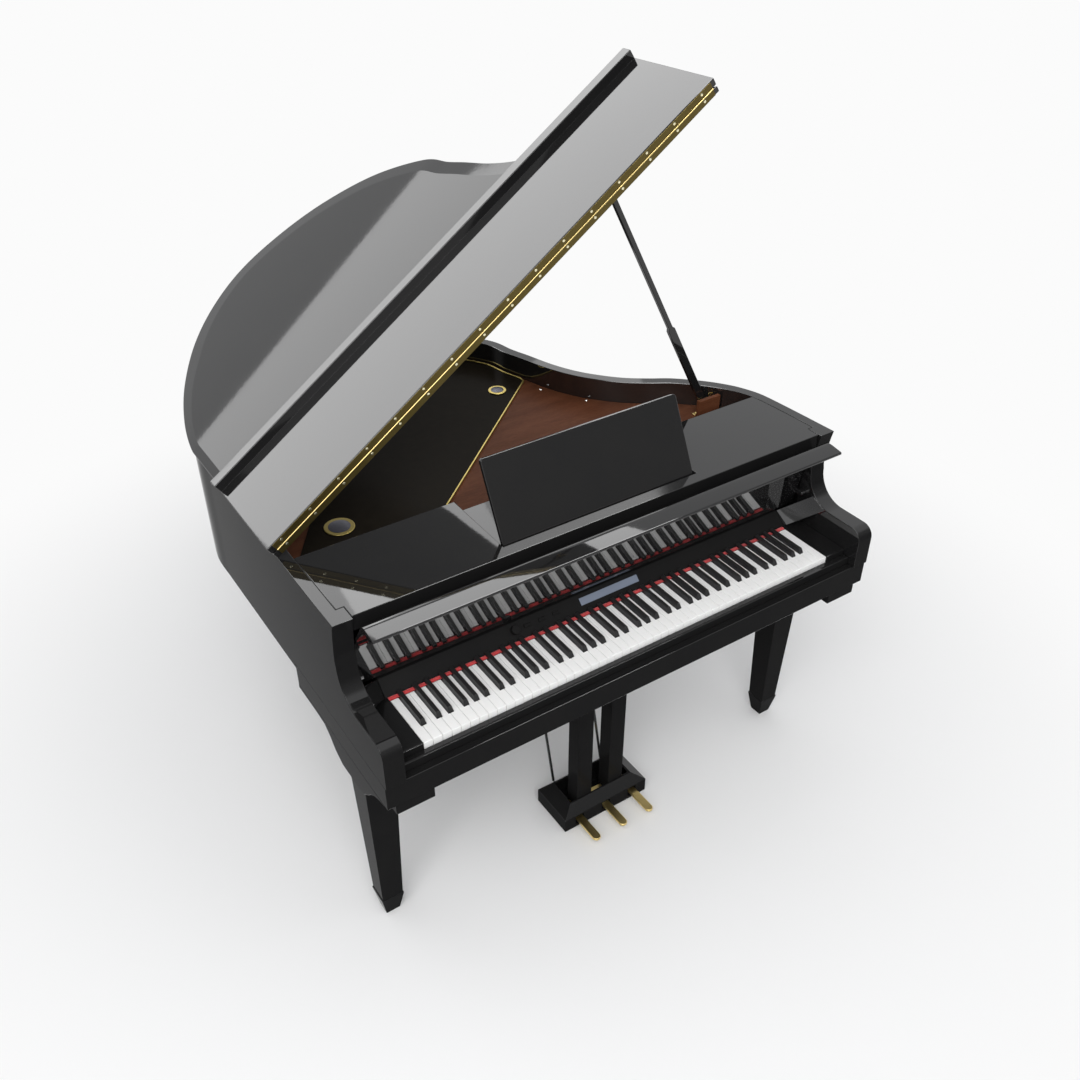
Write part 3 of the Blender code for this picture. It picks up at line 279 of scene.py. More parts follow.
def arc(centre, radius, start, end, steps):
    """Points on a circle, angles in degrees."""
    angles = [math.radians(start + (end - start) * k / steps) for k in range(steps + 1)]
    return [Vector((centre[0] + radius * math.cos(a), centre[1] + radius * math.sin(a)))
            for a in angles]


def inset_ring(ring, distances):
    """A closed outline moved inwards: each edge by its own distance. Anticlockwise."""
    count = len(ring)
    normals = []
    for k in range(count):
        along = (ring[(k + 1) % count] - ring[k]).normalized()
        normals.append(Vector((-along.y, along.x)))
    moved = []
    for k, point in enumerate(ring):
        n0, n1 = normals[k - 1], normals[k]
        d0, d1 = distances[k - 1], distances[k]
        turn = n0.x * n1.y - n0.y * n1.x
        if abs(turn) < 0.3:
            moved.append(point + (n0 + n1).normalized() * (d0 + d1) / 2)
        else:
            moved.append(point + Vector(((d0 * n1.y - d1 * n0.y) / turn,
                                         (d1 * n0.x - d0 * n1.x) / turn)))
    return moved


def layers(bm, levels, to_space):
    """A solid through closed outlines: (outline, height) from its foot to its top."""
    rings = [[bm.verts.new(to_space(point.x, point.y, height)) for point in ring]
             for ring, height in levels]
    for lower, upper in zip(rings, rings[1:]):
        count = len(lower)
        for k in range(count):
            after = (k + 1) % count
            bm.faces.new((lower[k], lower[after], upper[after], upper[k]))
    bm.faces.new(rings[0][::-1])
    bm.faces.new(rings[-1])


def in_plan(x, y, height):
    """From the drawing's plan to the frame."""
    return Vector((x + MIDDLE, y + FRONT, height))


def in_side(y, z, x):
    """From the drawing's side view to the frame."""
    return Vector((x + MIDDLE, y + FRONT, z))


def piece_from(name, bm, material, body, replaces=(), eased=0.0, segments=2,
               limit=34.0):
    """A bmesh as a finished piece: its edges eased, its finish on, riding on its body."""
    bmesh.ops.recalc_face_normals(bm, faces=bm.faces)
    weight = bm.edges.layers.float.new("bevel_weight_edge")
    for edge in bm.edges:
        if edge.calc_face_angle(0) > math.radians(max(limit, LEAST_EASED)):
            edge[weight] = 1.0 if edge.is_convex else HOLLOW_SHARE
    mesh = bpy.data.meshes.new(name)
    bm.to_mesh(mesh)
    bm.free()
    piece = bpy.data.objects.new(name, mesh)
    bpy.context.scene.collection.objects.link(piece)
    mesh.materials.append(material)
    mesh.shade_smooth()
    mesh.set_sharp_from_angle(angle=math.radians(limit))
    if eased:
        bevel = piece.modifiers.new("eased_edges", "BEVEL")
        bevel.width = eased
        bevel.segments = segments
        bevel.limit_method = "WEIGHT"
        bevel.use_clamp_overlap = False
        flat = piece.modifiers.new("flat_faces", "WEIGHTED_NORMAL")
        flat.keep_sharp = True
    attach(piece, body)
    if replaces:
        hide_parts(*replaces)
    return piece


def dress(node, material, eased=0.0010, segments=2, limit=34.0):
    """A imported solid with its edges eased, in its own place."""
    source = frame["nodes"][node]
    bm = bmesh.new()
    bm.from_mesh(source.data)
    bmesh.ops.remove_doubles(bm, verts=bm.verts, dist=0.00003)
    bmesh.ops.dissolve_limit(bm, angle_limit=math.radians(0.4), verts=bm.verts,
                             edges=bm.edges)
    return piece_from(f"{node}_finished", bm, material, source["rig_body"], [node],
                      eased, segments, limit)


def plain_solid(levels, to_space):
    """A guide for cutting."""
    bm = bmesh.new()
    layers(bm, levels, to_space)
    bmesh.ops.recalc_face_normals(bm, faces=bm.faces)
    mesh = bpy.data.meshes.new("guide")
    bm.to_mesh(mesh)
    bm.free()
    guide = bpy.data.objects.new("guide", mesh)
    bpy.context.scene.collection.objects.link(guide)
    return guide


def cut(target, cutters):
    """The target less the cutters, as a bmesh. All the guides are used up."""
    for cutter in cutters:
        step = target.modifiers.new("cut", "BOOLEAN")
        step.operation = "DIFFERENCE"
        step.solver = "EXACT"
        step.object = cutter
    bpy.context.view_layer.update()
    depsgraph = bpy.context.evaluated_depsgraph_get()
    shape = bpy.data.meshes.new_from_object(target.evaluated_get(depsgraph))
    bm = bmesh.new()
    bm.from_mesh(shape)
    bpy.data.meshes.remove(shape)
    for guide in (target, *cutters):
        bpy.data.objects.remove(guide)
    bmesh.ops.remove_doubles(bm, verts=bm.verts, dist=0.00003)
    bmesh.ops.dissolve_limit(bm, angle_limit=math.radians(0.2), verts=bm.verts,
                             edges=bm.edges)
    return bm


outer = [Vector((CASE_HALF, ARM_FRONT))] + rim_path(0) + [Vector((-CASE_HALF, ARM_FRONT))]
behind = [point for point in rim_path(RIM_WALL) if point.y > ARM_REAR]
thick, thin = CASE_HALF - ARM_WALL, CASE_HALF - RIM_WALL
inner = [Vector((thick, ARM_FRONT)), Vector((thick, ARM_REAR)), Vector((behind[0].x, ARM_REAR))]
inner += behind + [Vector((-thin, ARM_REAR)), Vector((-thick, ARM_REAR)),
                   Vector((-thick, ARM_FRONT))]
wall = plain_solid([(outer + inner[::-1], RIM_BOTTOM), (outer + inner[::-1], RIM_TOP)],
                   in_plan)
nose = (ARM_FRONT + NOSE_RADIUS, ARM_TOP - NOSE_RADIUS)
above_arm = [Vector((ARM_FRONT - 0.02, nose[1]))] + arc(nose, NOSE_RADIUS, 180, 90, 10)
above_arm += arc(HOLLOW_CENTRE, HOLLOW_RADIUS, -90, 0, 18)[:-1] + smooth(RIM_FRONT, 4)
above_arm += [Vector((above_arm[-1].x, RIM_TOP + 0.02)),
              Vector((ARM_FRONT - 0.02, RIM_TOP + 0.02))]
reach = CASE_HALF + 0.02
over = plain_solid([(above_arm, -reach), (above_arm, reach)], in_side)
under_front = [Vector((-0.1, RIM_BOTTOM - 0.02)), Vector((bed_high.y - FRONT, RIM_BOTTOM - 0.02)),
               Vector((bed_high.y - FRONT, BED_TOP)), Vector((-0.1, BED_TOP))]
under = plain_solid([(under_front, -reach), (under_front, reach)], in_side)
case_wall = piece_from("case_wall", cut(wall, [over, under]), CASE_LACQUER, "case",
                       ["outer_rim", "left_arm", "right_arm"], EASED)
case_wall.data.materials.append(INNER_LACQUER)
case_wall.data.materials.append(LACQUER)
# Inward upright faces reflect more than the outer ones: the plain lacquer at the arms and the far
# stronger copy behind them, a painted reflection that lightens them.
heart = in_plan(0, 0.6, 0)
for face in case_wall.data.polygons:
    outwards = face.center - heart
    level = face.normal.x * outwards.x + face.normal.y * outwards.y
    if abs(face.normal.z) < 0.3 and abs(face.normal.y) < 0.98 and level < 0:
        face.material_index = 1 if face.center.y > FRONT + ARM_REAR else 2

# Keybed, skirts and front blocks: the flat board that carries the keys, with a deep apron at the
# front and shaped skirts along both sides. Lacquered as the case is, and screwed up from below.
for node in ("keybed", "left_side_skirt", "right_side_skirt", "left_front_block",
             "right_front_block"):
    dress(node, CASE_LACQUER, 0.0016)

# Bottom board and main circuit board: a thin black board closes the tail from below, and the
# sound board with its chips lies on it inside the case.
BOARD_FINISH = Finish("black_painted_board", 0.5)
fibre = BOARD_FINISH.noise(240.0, 4.0)
BOARD = BOARD_FINISH.feed(
    Base_Color=BOARD_FINISH.blend(fibre, (0.012, 0.012, 0.012), (0.028, 0.026, 0.025)),
    Roughness=0.42 + fibre * 0.2, Normal=BOARD_FINISH.relief(fibre, 0.00006))
dress("bottom_board", BOARD, 0.0010)

MASK = Finish("green_solder_mask", 0.35)
across = MASK.node("ShaderNodeSeparateXYZ", None, {0: MASK.place}, 0)
away = MASK.node("ShaderNodeSeparateXYZ", None, {0: MASK.place}, 1)
tracks = ((across % 0.0025) < 0.0006) * (MASK.noise(30.0, 0.0) > 0.5)
cross_tracks = ((away % 0.0030) < 0.0006) * (MASK.noise(22.0, 0.0) > 0.52)
copper = tracks.math("MAXIMUM", tracks, cross_tracks)
CIRCUIT = MASK.feed(Base_Color=MASK.blend(copper, (0.012, 0.11, 0.045), (0.035, 0.22, 0.09)),
                    Roughness=0.30 + copper * 0.15, Normal=MASK.relief(copper, 0.00004))
frame["nodes"]["circuit_board"].data.materials.clear()
frame["nodes"]["circuit_board"].data.materials.append(CIRCUIT)

# Legs: three square posts that taper to a thin ferrule and a small foot, each screwed to a plate
# under the keybed or the tail. Solid wood under the same lacquer.
for node in ("left_leg", "right_leg", "rear_leg"):
    dress(node, CASE_LACQUER, 0.0011)

# Key slip and cheek blocks: the rail in front of the keys and the blocks at both ends of them,
# all lacquered wood, lifted out to reach the keys.
for node in ("key_slip", "left_cheek_block", "right_cheek_block"):
    dress(node, CASE_LACQUER, 0.0012)

# Keys: moulded caps on long sticks that swing on the rail behind them. The white ones have eased
# edges and a step beside their black neighbours, the black ones slope at the front and sides.
frame["nodes"]["key_pivot_rail"].data.materials.clear()
frame["nodes"]["key_pivot_rail"].data.materials.append(BOARD)

KEY_GAP = 0.0010
WHITE_LENGTH = 0.156
WHITE_TOP = 0.742
WHITE_LOW = 0.722
STICK = (0.132, 0.240, 0.714, 0.7225)
BLACK_WIDTH = 0.0137
BLACK_TOP_WIDTH = 0.0098
BLACK_FRONT = 0.050
BLACK_REAR = 0.150
BLACK_OVER_FELT = (0.168, 0.7472)
BLACK_TOP = 0.754
BLACK_LOW = 0.7285
BLACK_SLOPE = 0.0055
NOTCH = 0.048
NOTCH_GAP = 0.0009
STEM = (0.149, 0.250, 0.731, 0.737)
BLACK_SHIFT = {"C": -0.003, "D": 0.003, "F": -0.004, "G": 0.0, "A": 0.004}
SINGLE_WHITES = 4

IVORY_FINISH = Finish("white_key_plastic", 0.2, IOR=1.49, Coat_Weight=0.15)
cloud = IVORY_FINISH.noise(18.0, 3.0)
matt = IVORY_FINISH.noise(420.0, 2.0)
IVORY = IVORY_FINISH.feed(
    Base_Color=IVORY_FINISH.blend(cloud, (0.89, 0.885, 0.875), (0.92, 0.918, 0.91)),
    Roughness=0.16 + cloud * 0.08 + matt * 0.05, Normal=IVORY_FINISH.relief(matt, 0.000004))
EBONY_FINISH = Finish("black_key_plastic", 0.32, IOR=1.5)
grain = EBONY_FINISH.noise(300.0, 3.0, 0.6, EBONY_FINISH.stretched(1, 0.12, 1))
EBONY = EBONY_FINISH.feed(
    Base_Color=EBONY_FINISH.blend(grain, (0.008, 0.008, 0.009), (0.016, 0.015, 0.015)),
    Roughness=0.24 + grain * 0.16, Normal=EBONY_FINISH.relief(grain, 0.00002))


def key_left(index):
    """The left edge of a white key's place."""
    return (index - WHITE_COUNT / 2) * WHITE_PITCH


def black_centre(index):
    """The middle of the black key after a white key, or None where there is none."""
    if not 0 <= index < WHITE_COUNT - 1 or "ABCDEFG"[index % 7] not in BLACK_SHIFT:
        return None
    return key_left(index + 1) + BLACK_SHIFT["ABCDEFG"[index % 7]]


def white_key(bm, index):
    """One white key with its stick."""
    left, right = key_left(index) + KEY_GAP / 2, key_left(index + 1) - KEY_GAP / 2
    away_from = BLACK_WIDTH / 2 + NOTCH_GAP
    before, after = black_centre(index - 1), black_centre(index)
    plan = [(left, 0), (right, 0)]
    narrow = [left, right]
    if after is not None:
        narrow[1] = after - away_from
        plan += [(right, NOTCH), (narrow[1], NOTCH)]
    plan += [(narrow[1], WHITE_LENGTH)]
    if before is not None:
        narrow[0] = before + away_from
    plan += [(narrow[0], WHITE_LENGTH)]
    if before is not None:
        plan += [(narrow[0], NOTCH), (left, NOTCH)]
    ring = [Vector(point) for point in plan]
    layers(bm, [(ring, WHITE_LOW), (ring, WHITE_TOP)], in_plan)
    stick = [Vector(corner) for corner in ((left, STICK[0]), (right, STICK[0]),
                                           (right, STICK[1]), (left, STICK[1]))]
    layers(bm, [(stick, STICK[2]), (stick, STICK[3])], in_plan)


def black_key(bm, centre):
    """One black key: sloped front and sides, and its stem."""
    wide, slim = BLACK_WIDTH / 2, BLACK_TOP_WIDTH / 2

    def ring(half, front, rear):
        return [Vector((centre + x, y)) for x, y in
                ((-half, front), (half, front), (half, rear), (-half, rear))]

    over, over_low = BLACK_OVER_FELT
    rise = (over_low - WHITE_TOP) / (BLACK_TOP - WHITE_TOP)
    front, half = BLACK_FRONT + BLACK_SLOPE * rise, wide + (slim - wide) * rise
    layers(bm, [(ring(wide, BLACK_FRONT, BLACK_REAR), BLACK_LOW),
                (ring(wide, BLACK_FRONT, BLACK_REAR), WHITE_TOP),
                (ring(half, front, BLACK_REAR), over_low),
                (ring(half, front, over), over_low),
                (ring(slim, BLACK_FRONT + BLACK_SLOPE, over), BLACK_TOP)], in_plan)
    layers(bm, [(ring(wide, STEM[0], STEM[1]), STEM[2]),
                (ring(wide, STEM[0], STEM[1]), STEM[3])], in_plan)


for number in range(SINGLE_WHITES):
    bm = bmesh.new()
    white_key(bm, number)
    piece_from(f"white_key_{number + 1}_cap", bm, IVORY, f"white_key_{number + 1}",
               [f"white_key_{number + 1}"], 0.0007)
bm = bmesh.new()
for number in range(SINGLE_WHITES, WHITE_COUNT):
    white_key(bm, number)
piece_from("white_key_caps", bm, IVORY, "white_keys", ["white_keys"], 0.0007)

blacks = [k for k in range(WHITE_COUNT) if black_centre(k) is not None]
singles = [k for k in blacks if k < SINGLE_WHITES]
for number, index in enumerate(singles):
    bm = bmesh.new()
    black_key(bm, black_centre(index))
    piece_from(f"black_key_{number + 1}_cap", bm, EBONY, f"black_key_{number + 1}",
               [f"black_key_{number + 1}"], 0.0006)
bm = bmesh.new()
for index in blacks[len(singles):]:
    black_key(bm, black_centre(index))
piece_from("black_key_caps", bm, EBONY, "black_keys", ["black_keys"], 0.0006)

# Felt strip: woven red cloth behind the keys, which quiets them and hides the gap under the
# control panel.
FELT_FINISH = Finish("red_felt", 0.95, Sheen_Weight=0.4, Sheen_Roughness=0.6)
tufts = FELT_FINISH.noise(900.0, 5.0, 0.7)
strands = FELT_FINISH.noise(260.0, 4.0, 0.7, FELT_FINISH.stretched(1, 2.5, 2.5))
FELT = FELT_FINISH.feed(
    Base_Color=FELT_FINISH.blend(tufts * 0.6 + strands * 0.4, (0.40, 0.006, 0.009),
                                 (0.85, 0.03, 0.035)),
    Roughness=0.85 + tufts * 0.12, Normal=FELT_FINISH.relief(tufts + strands, 0.0004))
dress("key_felt", FELT, 0.0008)

# Control panel: a slanted satin plate behind the keys with a display, a volume knob and three
# push buttons, between two lacquered end blocks.
SATIN_FINISH = Finish("satin_black_plate", 0.42, Specular_IOR_Level=0.10)
powder = SATIN_FINISH.noise(1400.0, 2.0)
dull = SATIN_FINISH.noise(9.0, 3.0)
SATIN = SATIN_FINISH.feed(
    Base_Color=SATIN_FINISH.blend(dull, (0.008, 0.008, 0.0085), (0.012, 0.0115, 0.011)),
    Roughness=0.36 + dull * 0.08 + powder * 0.08, Normal=SATIN_FINISH.relief(powder, 0.00002))
dress("control_panel", SATIN, 0.0005)
PANEL_HALF = WHITE_COUNT * WHITE_PITCH / 2 + 0.0064
END_INNER = [(0.169, 0.7425), (0.2028, 0.7757), (0.2045, 0.7757), (0.2080, 0.7425)]
END_OUTER = [(0.087, 0.817), (0.133, 0.839), (0.135, 0.839), (0.172, 0.7425)]
END_STEPS = 12
# The end blocks take a copy of the lacquer that reflects more strongly: a painted reflection that
# lightens them.
END_LACQUER = black_lacquer("end_block_lacquer", 1.9)
for side, sign in (("left", -1), ("right", 1)):
    bm = bmesh.new()
    sections = []
    for step in range(END_STEPS + 1):
        share = step / END_STEPS
        ring = [Vector(first).lerp(Vector(last), share)
                for first, last in zip(END_INNER, END_OUTER)]
        x = PANEL_HALF + 0.0003 + (CASE_HALF - ARM_WALL - PANEL_HALF - 0.0008) * share
        sections.append((ring, sign * x))
    layers(bm, sections, in_side)
    piece_from(f"{side}_end_block_finished", bm, END_LACQUER, "case",
               [f"{side}_end_block"], 0.0008)
for number in (1, 2, 3):
    dress(f"panel_button_{number}", SATIN, 0.0005)
dress("volume_knob", SATIN, 0.0008)
GLASS_FINISH = Finish("display_glass", 0.12, IOR=1.5, Coat_Weight=0.6)
glow = GLASS_FINISH.noise(9.0, 1.0)
GLASS = GLASS_FINISH.feed(
    Base_Color=GLASS_FINISH.blend(glow, (0.165, 0.195, 0.255), (0.21, 0.245, 0.315)),
    Roughness=0.10 + glow * 0.06)
dress("display_window", GLASS, 0.0003)

# Fallboard: the hinged board that covers the keys, standing open. A thin lip leans out from its
# top. Its face takes a copy of the lacquer that reflects far more strongly than the case, a
# painted reflection, so the keys stand brightly mirrored in it.
MIRROR_LACQUER = black_lacquer("deep_polished_lacquer", 3.3)
fallboard = dress("fallboard", LACQUER, 0.0006, 2, 20.0)
fallboard.data.materials.append(MIRROR_LACQUER)
# The face below the lip takes the strongly reflecting copy: painted reflection.
for face in fallboard.data.polygons:
    face.material_index = int(face.normal.y < -0.5 and face.center.z < 1.0)

# Music shelf, desk and strut: the fixed board in front of the strings' place, and the plain
# satin desk that folds down into its pocket, held up by a hinged strut.
dress("music_shelf", CASE_LACQUER, 0.0018)
DESK_FINISH = Finish("dark_desk_lacquer", 0.12, IOR=1.5)
cloudy = DESK_FINISH.noise(11.0, 3.0)
specks = DESK_FINISH.noise(600.0, 2.0)
DESK = DESK_FINISH.feed(
    Base_Color=DESK_FINISH.blend(cloudy, (0.0085, 0.0085, 0.009), (0.0115, 0.011, 0.0105)),
    Roughness=0.10 + cloudy * 0.03 + specks * 0.02, Normal=DESK_FINISH.relief(specks, 0.000006))
dress("music_desk", DESK, 0.0012)
dress("desk_strut", SATIN, 0.0006)

# Deck: reddish veneer under a thin clear coat, with the dark speaker panel on it, edged in brass.
WOOD_FINISH = Finish("reddish_veneer", 0.3, Specular_IOR_Level=0.03)
fine = WOOD_FINISH.noise(60.0, 6.0, 0.6, WOOD_FINISH.stretched(0.9, 14, 14))
broad = WOOD_FINISH.noise(7.0, 3.0, 0.55, WOOD_FINISH.stretched(0.5, 3, 3))
veins = fine * 0.65 + broad * 0.45
tone = WOOD_FINISH.node("ShaderNodeValToRGB", {"stops": [
    (0.30, (0.045, 0.015, 0.008)), (0.50, (0.096, 0.034, 0.016)),
    (0.72, (0.150, 0.056, 0.028))]}, {"Fac": veins})
WOOD = WOOD_FINISH.feed(Base_Color=tone, Roughness=0.26 + fine * 0.2,
                        Normal=WOOD_FINISH.relief(fine, 0.00006))
dress("soundboard_deck", WOOD, 0.0006)
PANEL_FINISH = Finish("dark_brown_panel", 0.22, Specular_IOR_Level=0.01)
mottle = PANEL_FINISH.noise(40.0, 4.0)
PANEL = PANEL_FINISH.feed(
    Base_Color=PANEL_FINISH.blend(mottle, (0.010, 0.008, 0.006), (0.016, 0.013, 0.009)),
    Roughness=0.16 + mottle * 0.14, Normal=PANEL_FINISH.relief(mottle, 0.00002))
dress("speaker_panel", PANEL, 0.0005)



def metal(name, dark, light, roughness):
    """Metal with cloudy tarnish and fine brushing along X."""
    finish = Finish(name, roughness, 1.0)
    tarnish = finish.noise(35.0, 4.0, 0.6)
    brushed = finish.noise(700.0, 2.0, 0.5, finish.stretched(0.03, 1, 1))
    return finish.feed(Base_Color=finish.blend(tarnish, dark, light),
                       Roughness=roughness - 0.05 + brushed * 0.14 + tarnish * 0.08,
                       Normal=finish.relief(brushed, 0.000015))


BRASS = metal("lacquered_brass", (0.70, 0.53, 0.20), (0.86, 0.68, 0.30), 0.25)
DULL_BRASS = metal("dull_brass_trim", (0.36, 0.28, 0.08), (0.48, 0.38, 0.13), 0.30)
STEEL = metal("bright_screw_steel", (0.62, 0.62, 0.60), (0.80, 0.80, 0.78), 0.22)
dress("speaker_trim", DULL_BRASS, 0.0006)
for node in ("front_speaker", "rear_speaker"):
    dress(node, DULL_BRASS, 0.0012, 3)

# Speaker grilles: a perforated sheet of grey metal in each brass ring, slightly domed, its holes
# painted as near-black dots that are partly painted shade, and the bright screws that hold the
# deck down.
GRILLE_FINISH = Finish("perforated_grille", 0.4, 0.6)
HOLE_PITCH = 0.0022
spread = [GRILLE_FINISH.node("ShaderNodeSeparateXYZ", None, {0: GRILLE_FINISH.place}, k)
          for k in (0, 1)]
from_hole = [(along % HOLE_PITCH) - HOLE_PITCH / 2 for along in spread]
apart = (from_hole[0] * from_hole[0] + from_hole[1] * from_hole[1]) ** 0.5
# The holes are not cut: the near-black dots are partly the dark speaker behind and partly painted
# shade in the openings.
hole = apart < HOLE_PITCH * 0.28
GRILLE = GRILLE_FINISH.feed(
    Base_Color=GRILLE_FINISH.blend(hole, (0.115, 0.115, 0.14), (0.012, 0.012, 0.014)),
    Roughness=0.36 + hole * 0.4, Normal=GRILLE_FINISH.relief(1.0 - hole, 0.0002))


class Maker(Graph):
    """A Geometry Nodes tree with its sizes as named inputs."""

    def __init__(self, name, **sizes):
        super().__init__(bpy.data.node_groups.new(name, "GeometryNodeTree"))
        self.sizes = sizes
        for key, value in sizes.items():
            kind = {int: "NodeSocketInt", float: "NodeSocketFloat"}.get(
                type(value), "NodeSocketVector")
            self.tree.interface.new_socket(key, in_out="INPUT", socket_type=kind)
        self.tree.interface.new_socket("Mesh", in_out="OUTPUT", socket_type="NodeSocketGeometry")
        self.given = self.tree.nodes.new("NodeGroupInput")

    def size(self, key):
        """One of the named inputs."""
        return Wire(self, self.given.outputs[key])

    def finished(self, geometry, material):
        """The tree's result as a bmesh."""
        whole = self.node("GeometryNodeRealizeInstances", None, {0: geometry})
        painted = self.node("GeometryNodeSetMaterial", None, {0: whole, "Material": material})
        self.join(self.tree.nodes.new("NodeGroupOutput"), {0: painted})
        holder = bpy.data.objects.new(self.tree.name, bpy.data.meshes.new(self.tree.name))
        bpy.context.scene.collection.objects.link(holder)
        step = holder.modifiers.new("made", "NODES")
        step.node_group = self.tree
        for item in self.tree.interface.items_tree:
            if item.in_out == "INPUT":
                step[item.identifier] = self.sizes[item.name]
        bpy.context.view_layer.update()
        depsgraph = bpy.context.evaluated_depsgraph_get()
        shape = bpy.data.meshes.new_from_object(holder.evaluated_get(depsgraph))
        bpy.data.objects.remove(holder)
        bm = bmesh.new()
        bm.from_mesh(shape)
        bpy.data.meshes.remove(shape)
        return bm


def screw_row(name, material, body, start, step, count, radius, flat):
    """Domed screw heads in a row, sunk to half of their thickness."""
    maker = Maker(name, Count=count, Radius=radius, Start=tuple(start), Step=tuple(step),
                  Flat=tuple(flat))
    line = maker.node("GeometryNodeMeshLine", {"mode": "OFFSET"}, {
        "Count": maker.size("Count"), "Start Location": maker.size("Start"),
        "Offset": maker.size("Step")})
    head = maker.node("GeometryNodeMeshUVSphere", None, {
        "Segments": 14, "Rings": 8, "Radius": maker.size("Radius")})
    flattened = maker.node("GeometryNodeTransform", None, {0: head, "Scale": maker.size("Flat")})
    row = maker.node("GeometryNodeInstanceOnPoints", None, {
        "Points": line, "Instance": flattened})
    return piece_from(name, maker.finished(row, material), material, body)


DECK_TOP = 0.958
for number, (x, y) in enumerate(((0.281, 0.882), (0.354, 0.751), (0.499, 0.660))):
    screw_row(f"deck_screw_{number + 1}", STEEL, "case", in_plan(x, y, DECK_TOP),
              (0.01, 0, 0), 1, 0.0042, (1, 1, 0.5))
for name, x, y, radius in (("front", -0.530, 0.549, 0.0275), ("rear", 0.165, 0.941, 0.0190)):
    bm = bmesh.new()
    sheet = [(radius * share, 0.0028 * (1 - share * share)) for share in (1.0, 0.85, 0.6, 0.3)]
    rings = [([Vector((x, y)) + point for point in arc((0, 0), across, 0, 350, 35)],
              DECK_TOP + 0.0078 + rise) for across, rise in [(radius, -0.001)] + sheet]
    layers(bm, rings, in_plan)
    piece_from(f"{name}_speaker_grille", bm, GRILLE, "case")

# Lid: the large main lid, propped open, and the front lid folded back on it. Both are lacquered
# on both faces. A long brass hinge joins them along their front edge.
LID_ANGLE = math.radians(34.95)
LID_ALONG = Vector((math.cos(LID_ANGLE), 0, math.sin(LID_ANGLE)))
LID_OUT = Vector((-math.sin(LID_ANGLE), 0, math.cos(LID_ANGLE)))
LID_EDGE = 0.0008
LID_LOW, LID_TOP = 0.0006, 0.019
LID_FRONT = 0.428
LID_CORNER = 2 * CASE_HALF + 0.004
OVERHANG_REACH = 0.120
BORDER, HINGE_BORDER, BORDER_DROP = 0.045, 0.025, 0.0035
BORDER_GROWS = 0.15


def in_lid(u, y, height):
    """From the closed lid's plan to the open lid in the frame."""
    return in_plan(-CASE_HALF, y, RIM_TOP) + LID_ALONG * u + LID_OUT * height


plan = [Vector((LID_CORNER, LID_FRONT))]
path = [point for point in rim_path(0, 12) if point.y > LID_FRONT + LID_EDGE]
overhang = LID_CORNER - CASE_HALF - path[0].x
for point in path:
    share = max(0, 1 - (point.y - LID_FRONT) / OVERHANG_REACH) if point.x > 0 else 0
    plan.append(Vector((max(point.x + CASE_HALF + overhang * share ** 2, LID_EDGE), point.y)))
plan.append(Vector((LID_EDGE, LID_FRONT)))
widths = [HINGE_BORDER + (BORDER - HINGE_BORDER) * min(point.x / BORDER_GROWS, 1)
          for point in plan]
widths[-1] = 0
border = inset_ring(plan, widths)
clear = next(k for k, point in enumerate(border) if k and point.y > LID_FRONT)
run = border[clear] - border[clear + 1]
corner = border[clear] + run * ((LID_FRONT - border[clear].y) / run.y)
border[:clear] = [corner.lerp(border[clear], k / clear) for k in range(clear)]
bm = bmesh.new()
layers(bm, [(plan, LID_LOW), (plan, LID_TOP - BORDER_DROP), (border, LID_TOP)], in_lid)
piece_from("main_lid_finished", bm, LACQUER, "main_lid", ["main_lid"], 0.0016,
           limit=3.5)
dress("front_lid", LACQUER, 0.0020)
HINGE = metal("aged_hinge_brass", (0.105, 0.080, 0.026), (0.150, 0.115, 0.040), 0.42)
SCREW_BRASS = metal("bright_screw_brass", (0.78, 0.72, 0.48), (0.90, 0.86, 0.60), 0.20)
HINGE_LINE, KNUCKLE = 0.0192, 0.0018
# The hinge leaves take a much darker brass than the band along the knuckle, which takes the
# bright brass.
for node in ("lid_hinge_leaf", "front_lid_hinge_leaf"):
    leaf = dress(node, HINGE, 0.0003)
    leaf.data.materials.append(BRASS)
    for face in leaf.data.polygons:
        height = (face.center - in_lid(0, LID_FRONT, 0)).dot(LID_OUT)
        face.material_index = int(abs(height - HINGE_LINE) < KNUCKLE)
LEAF_FACE = 0.4265
SCREW_START, SCREW_PITCH, SCREW_COUNT, SCREW_FLAT = 0.0402, 0.0919, 16, 0.115
for body, height in (("front_lid", 0.0305), ("main_lid", 0.0107)):
    screw_row(f"{body}_hinge_screws", SCREW_BRASS, body,
              in_lid(SCREW_START, LEAF_FACE, height), LID_ALONG * SCREW_PITCH, SCREW_COUNT,
              0.0034, (1, SCREW_FLAT, 1))

# Lid prop: a lacquered stick on a brass bracket, which stands behind a small upright board. Its
# tip sits in a brass cup under the lid.
dress("lid_prop", LACQUER, 0.0010)
dress("prop_board", WOOD, 0.0008)
for node in ("prop_bracket", "prop_cup"):
    dress(node, BRASS, 0.0004)

# Pedal lyre: a hollow lacquered box on two posts, three brass pedals and two stay rods.
for node in ("lyre_box", "left_lyre_post", "right_lyre_post"):
    dress(node, CASE_LACQUER, 0.0010)
for node in ("left_lyre_rod", "right_lyre_rod"):
    dress(node, LACQUER, 0.0)
for node in ("left_pedal", "middle_pedal", "right_pedal"):
    dress(node, BRASS, 0.0016, 3)

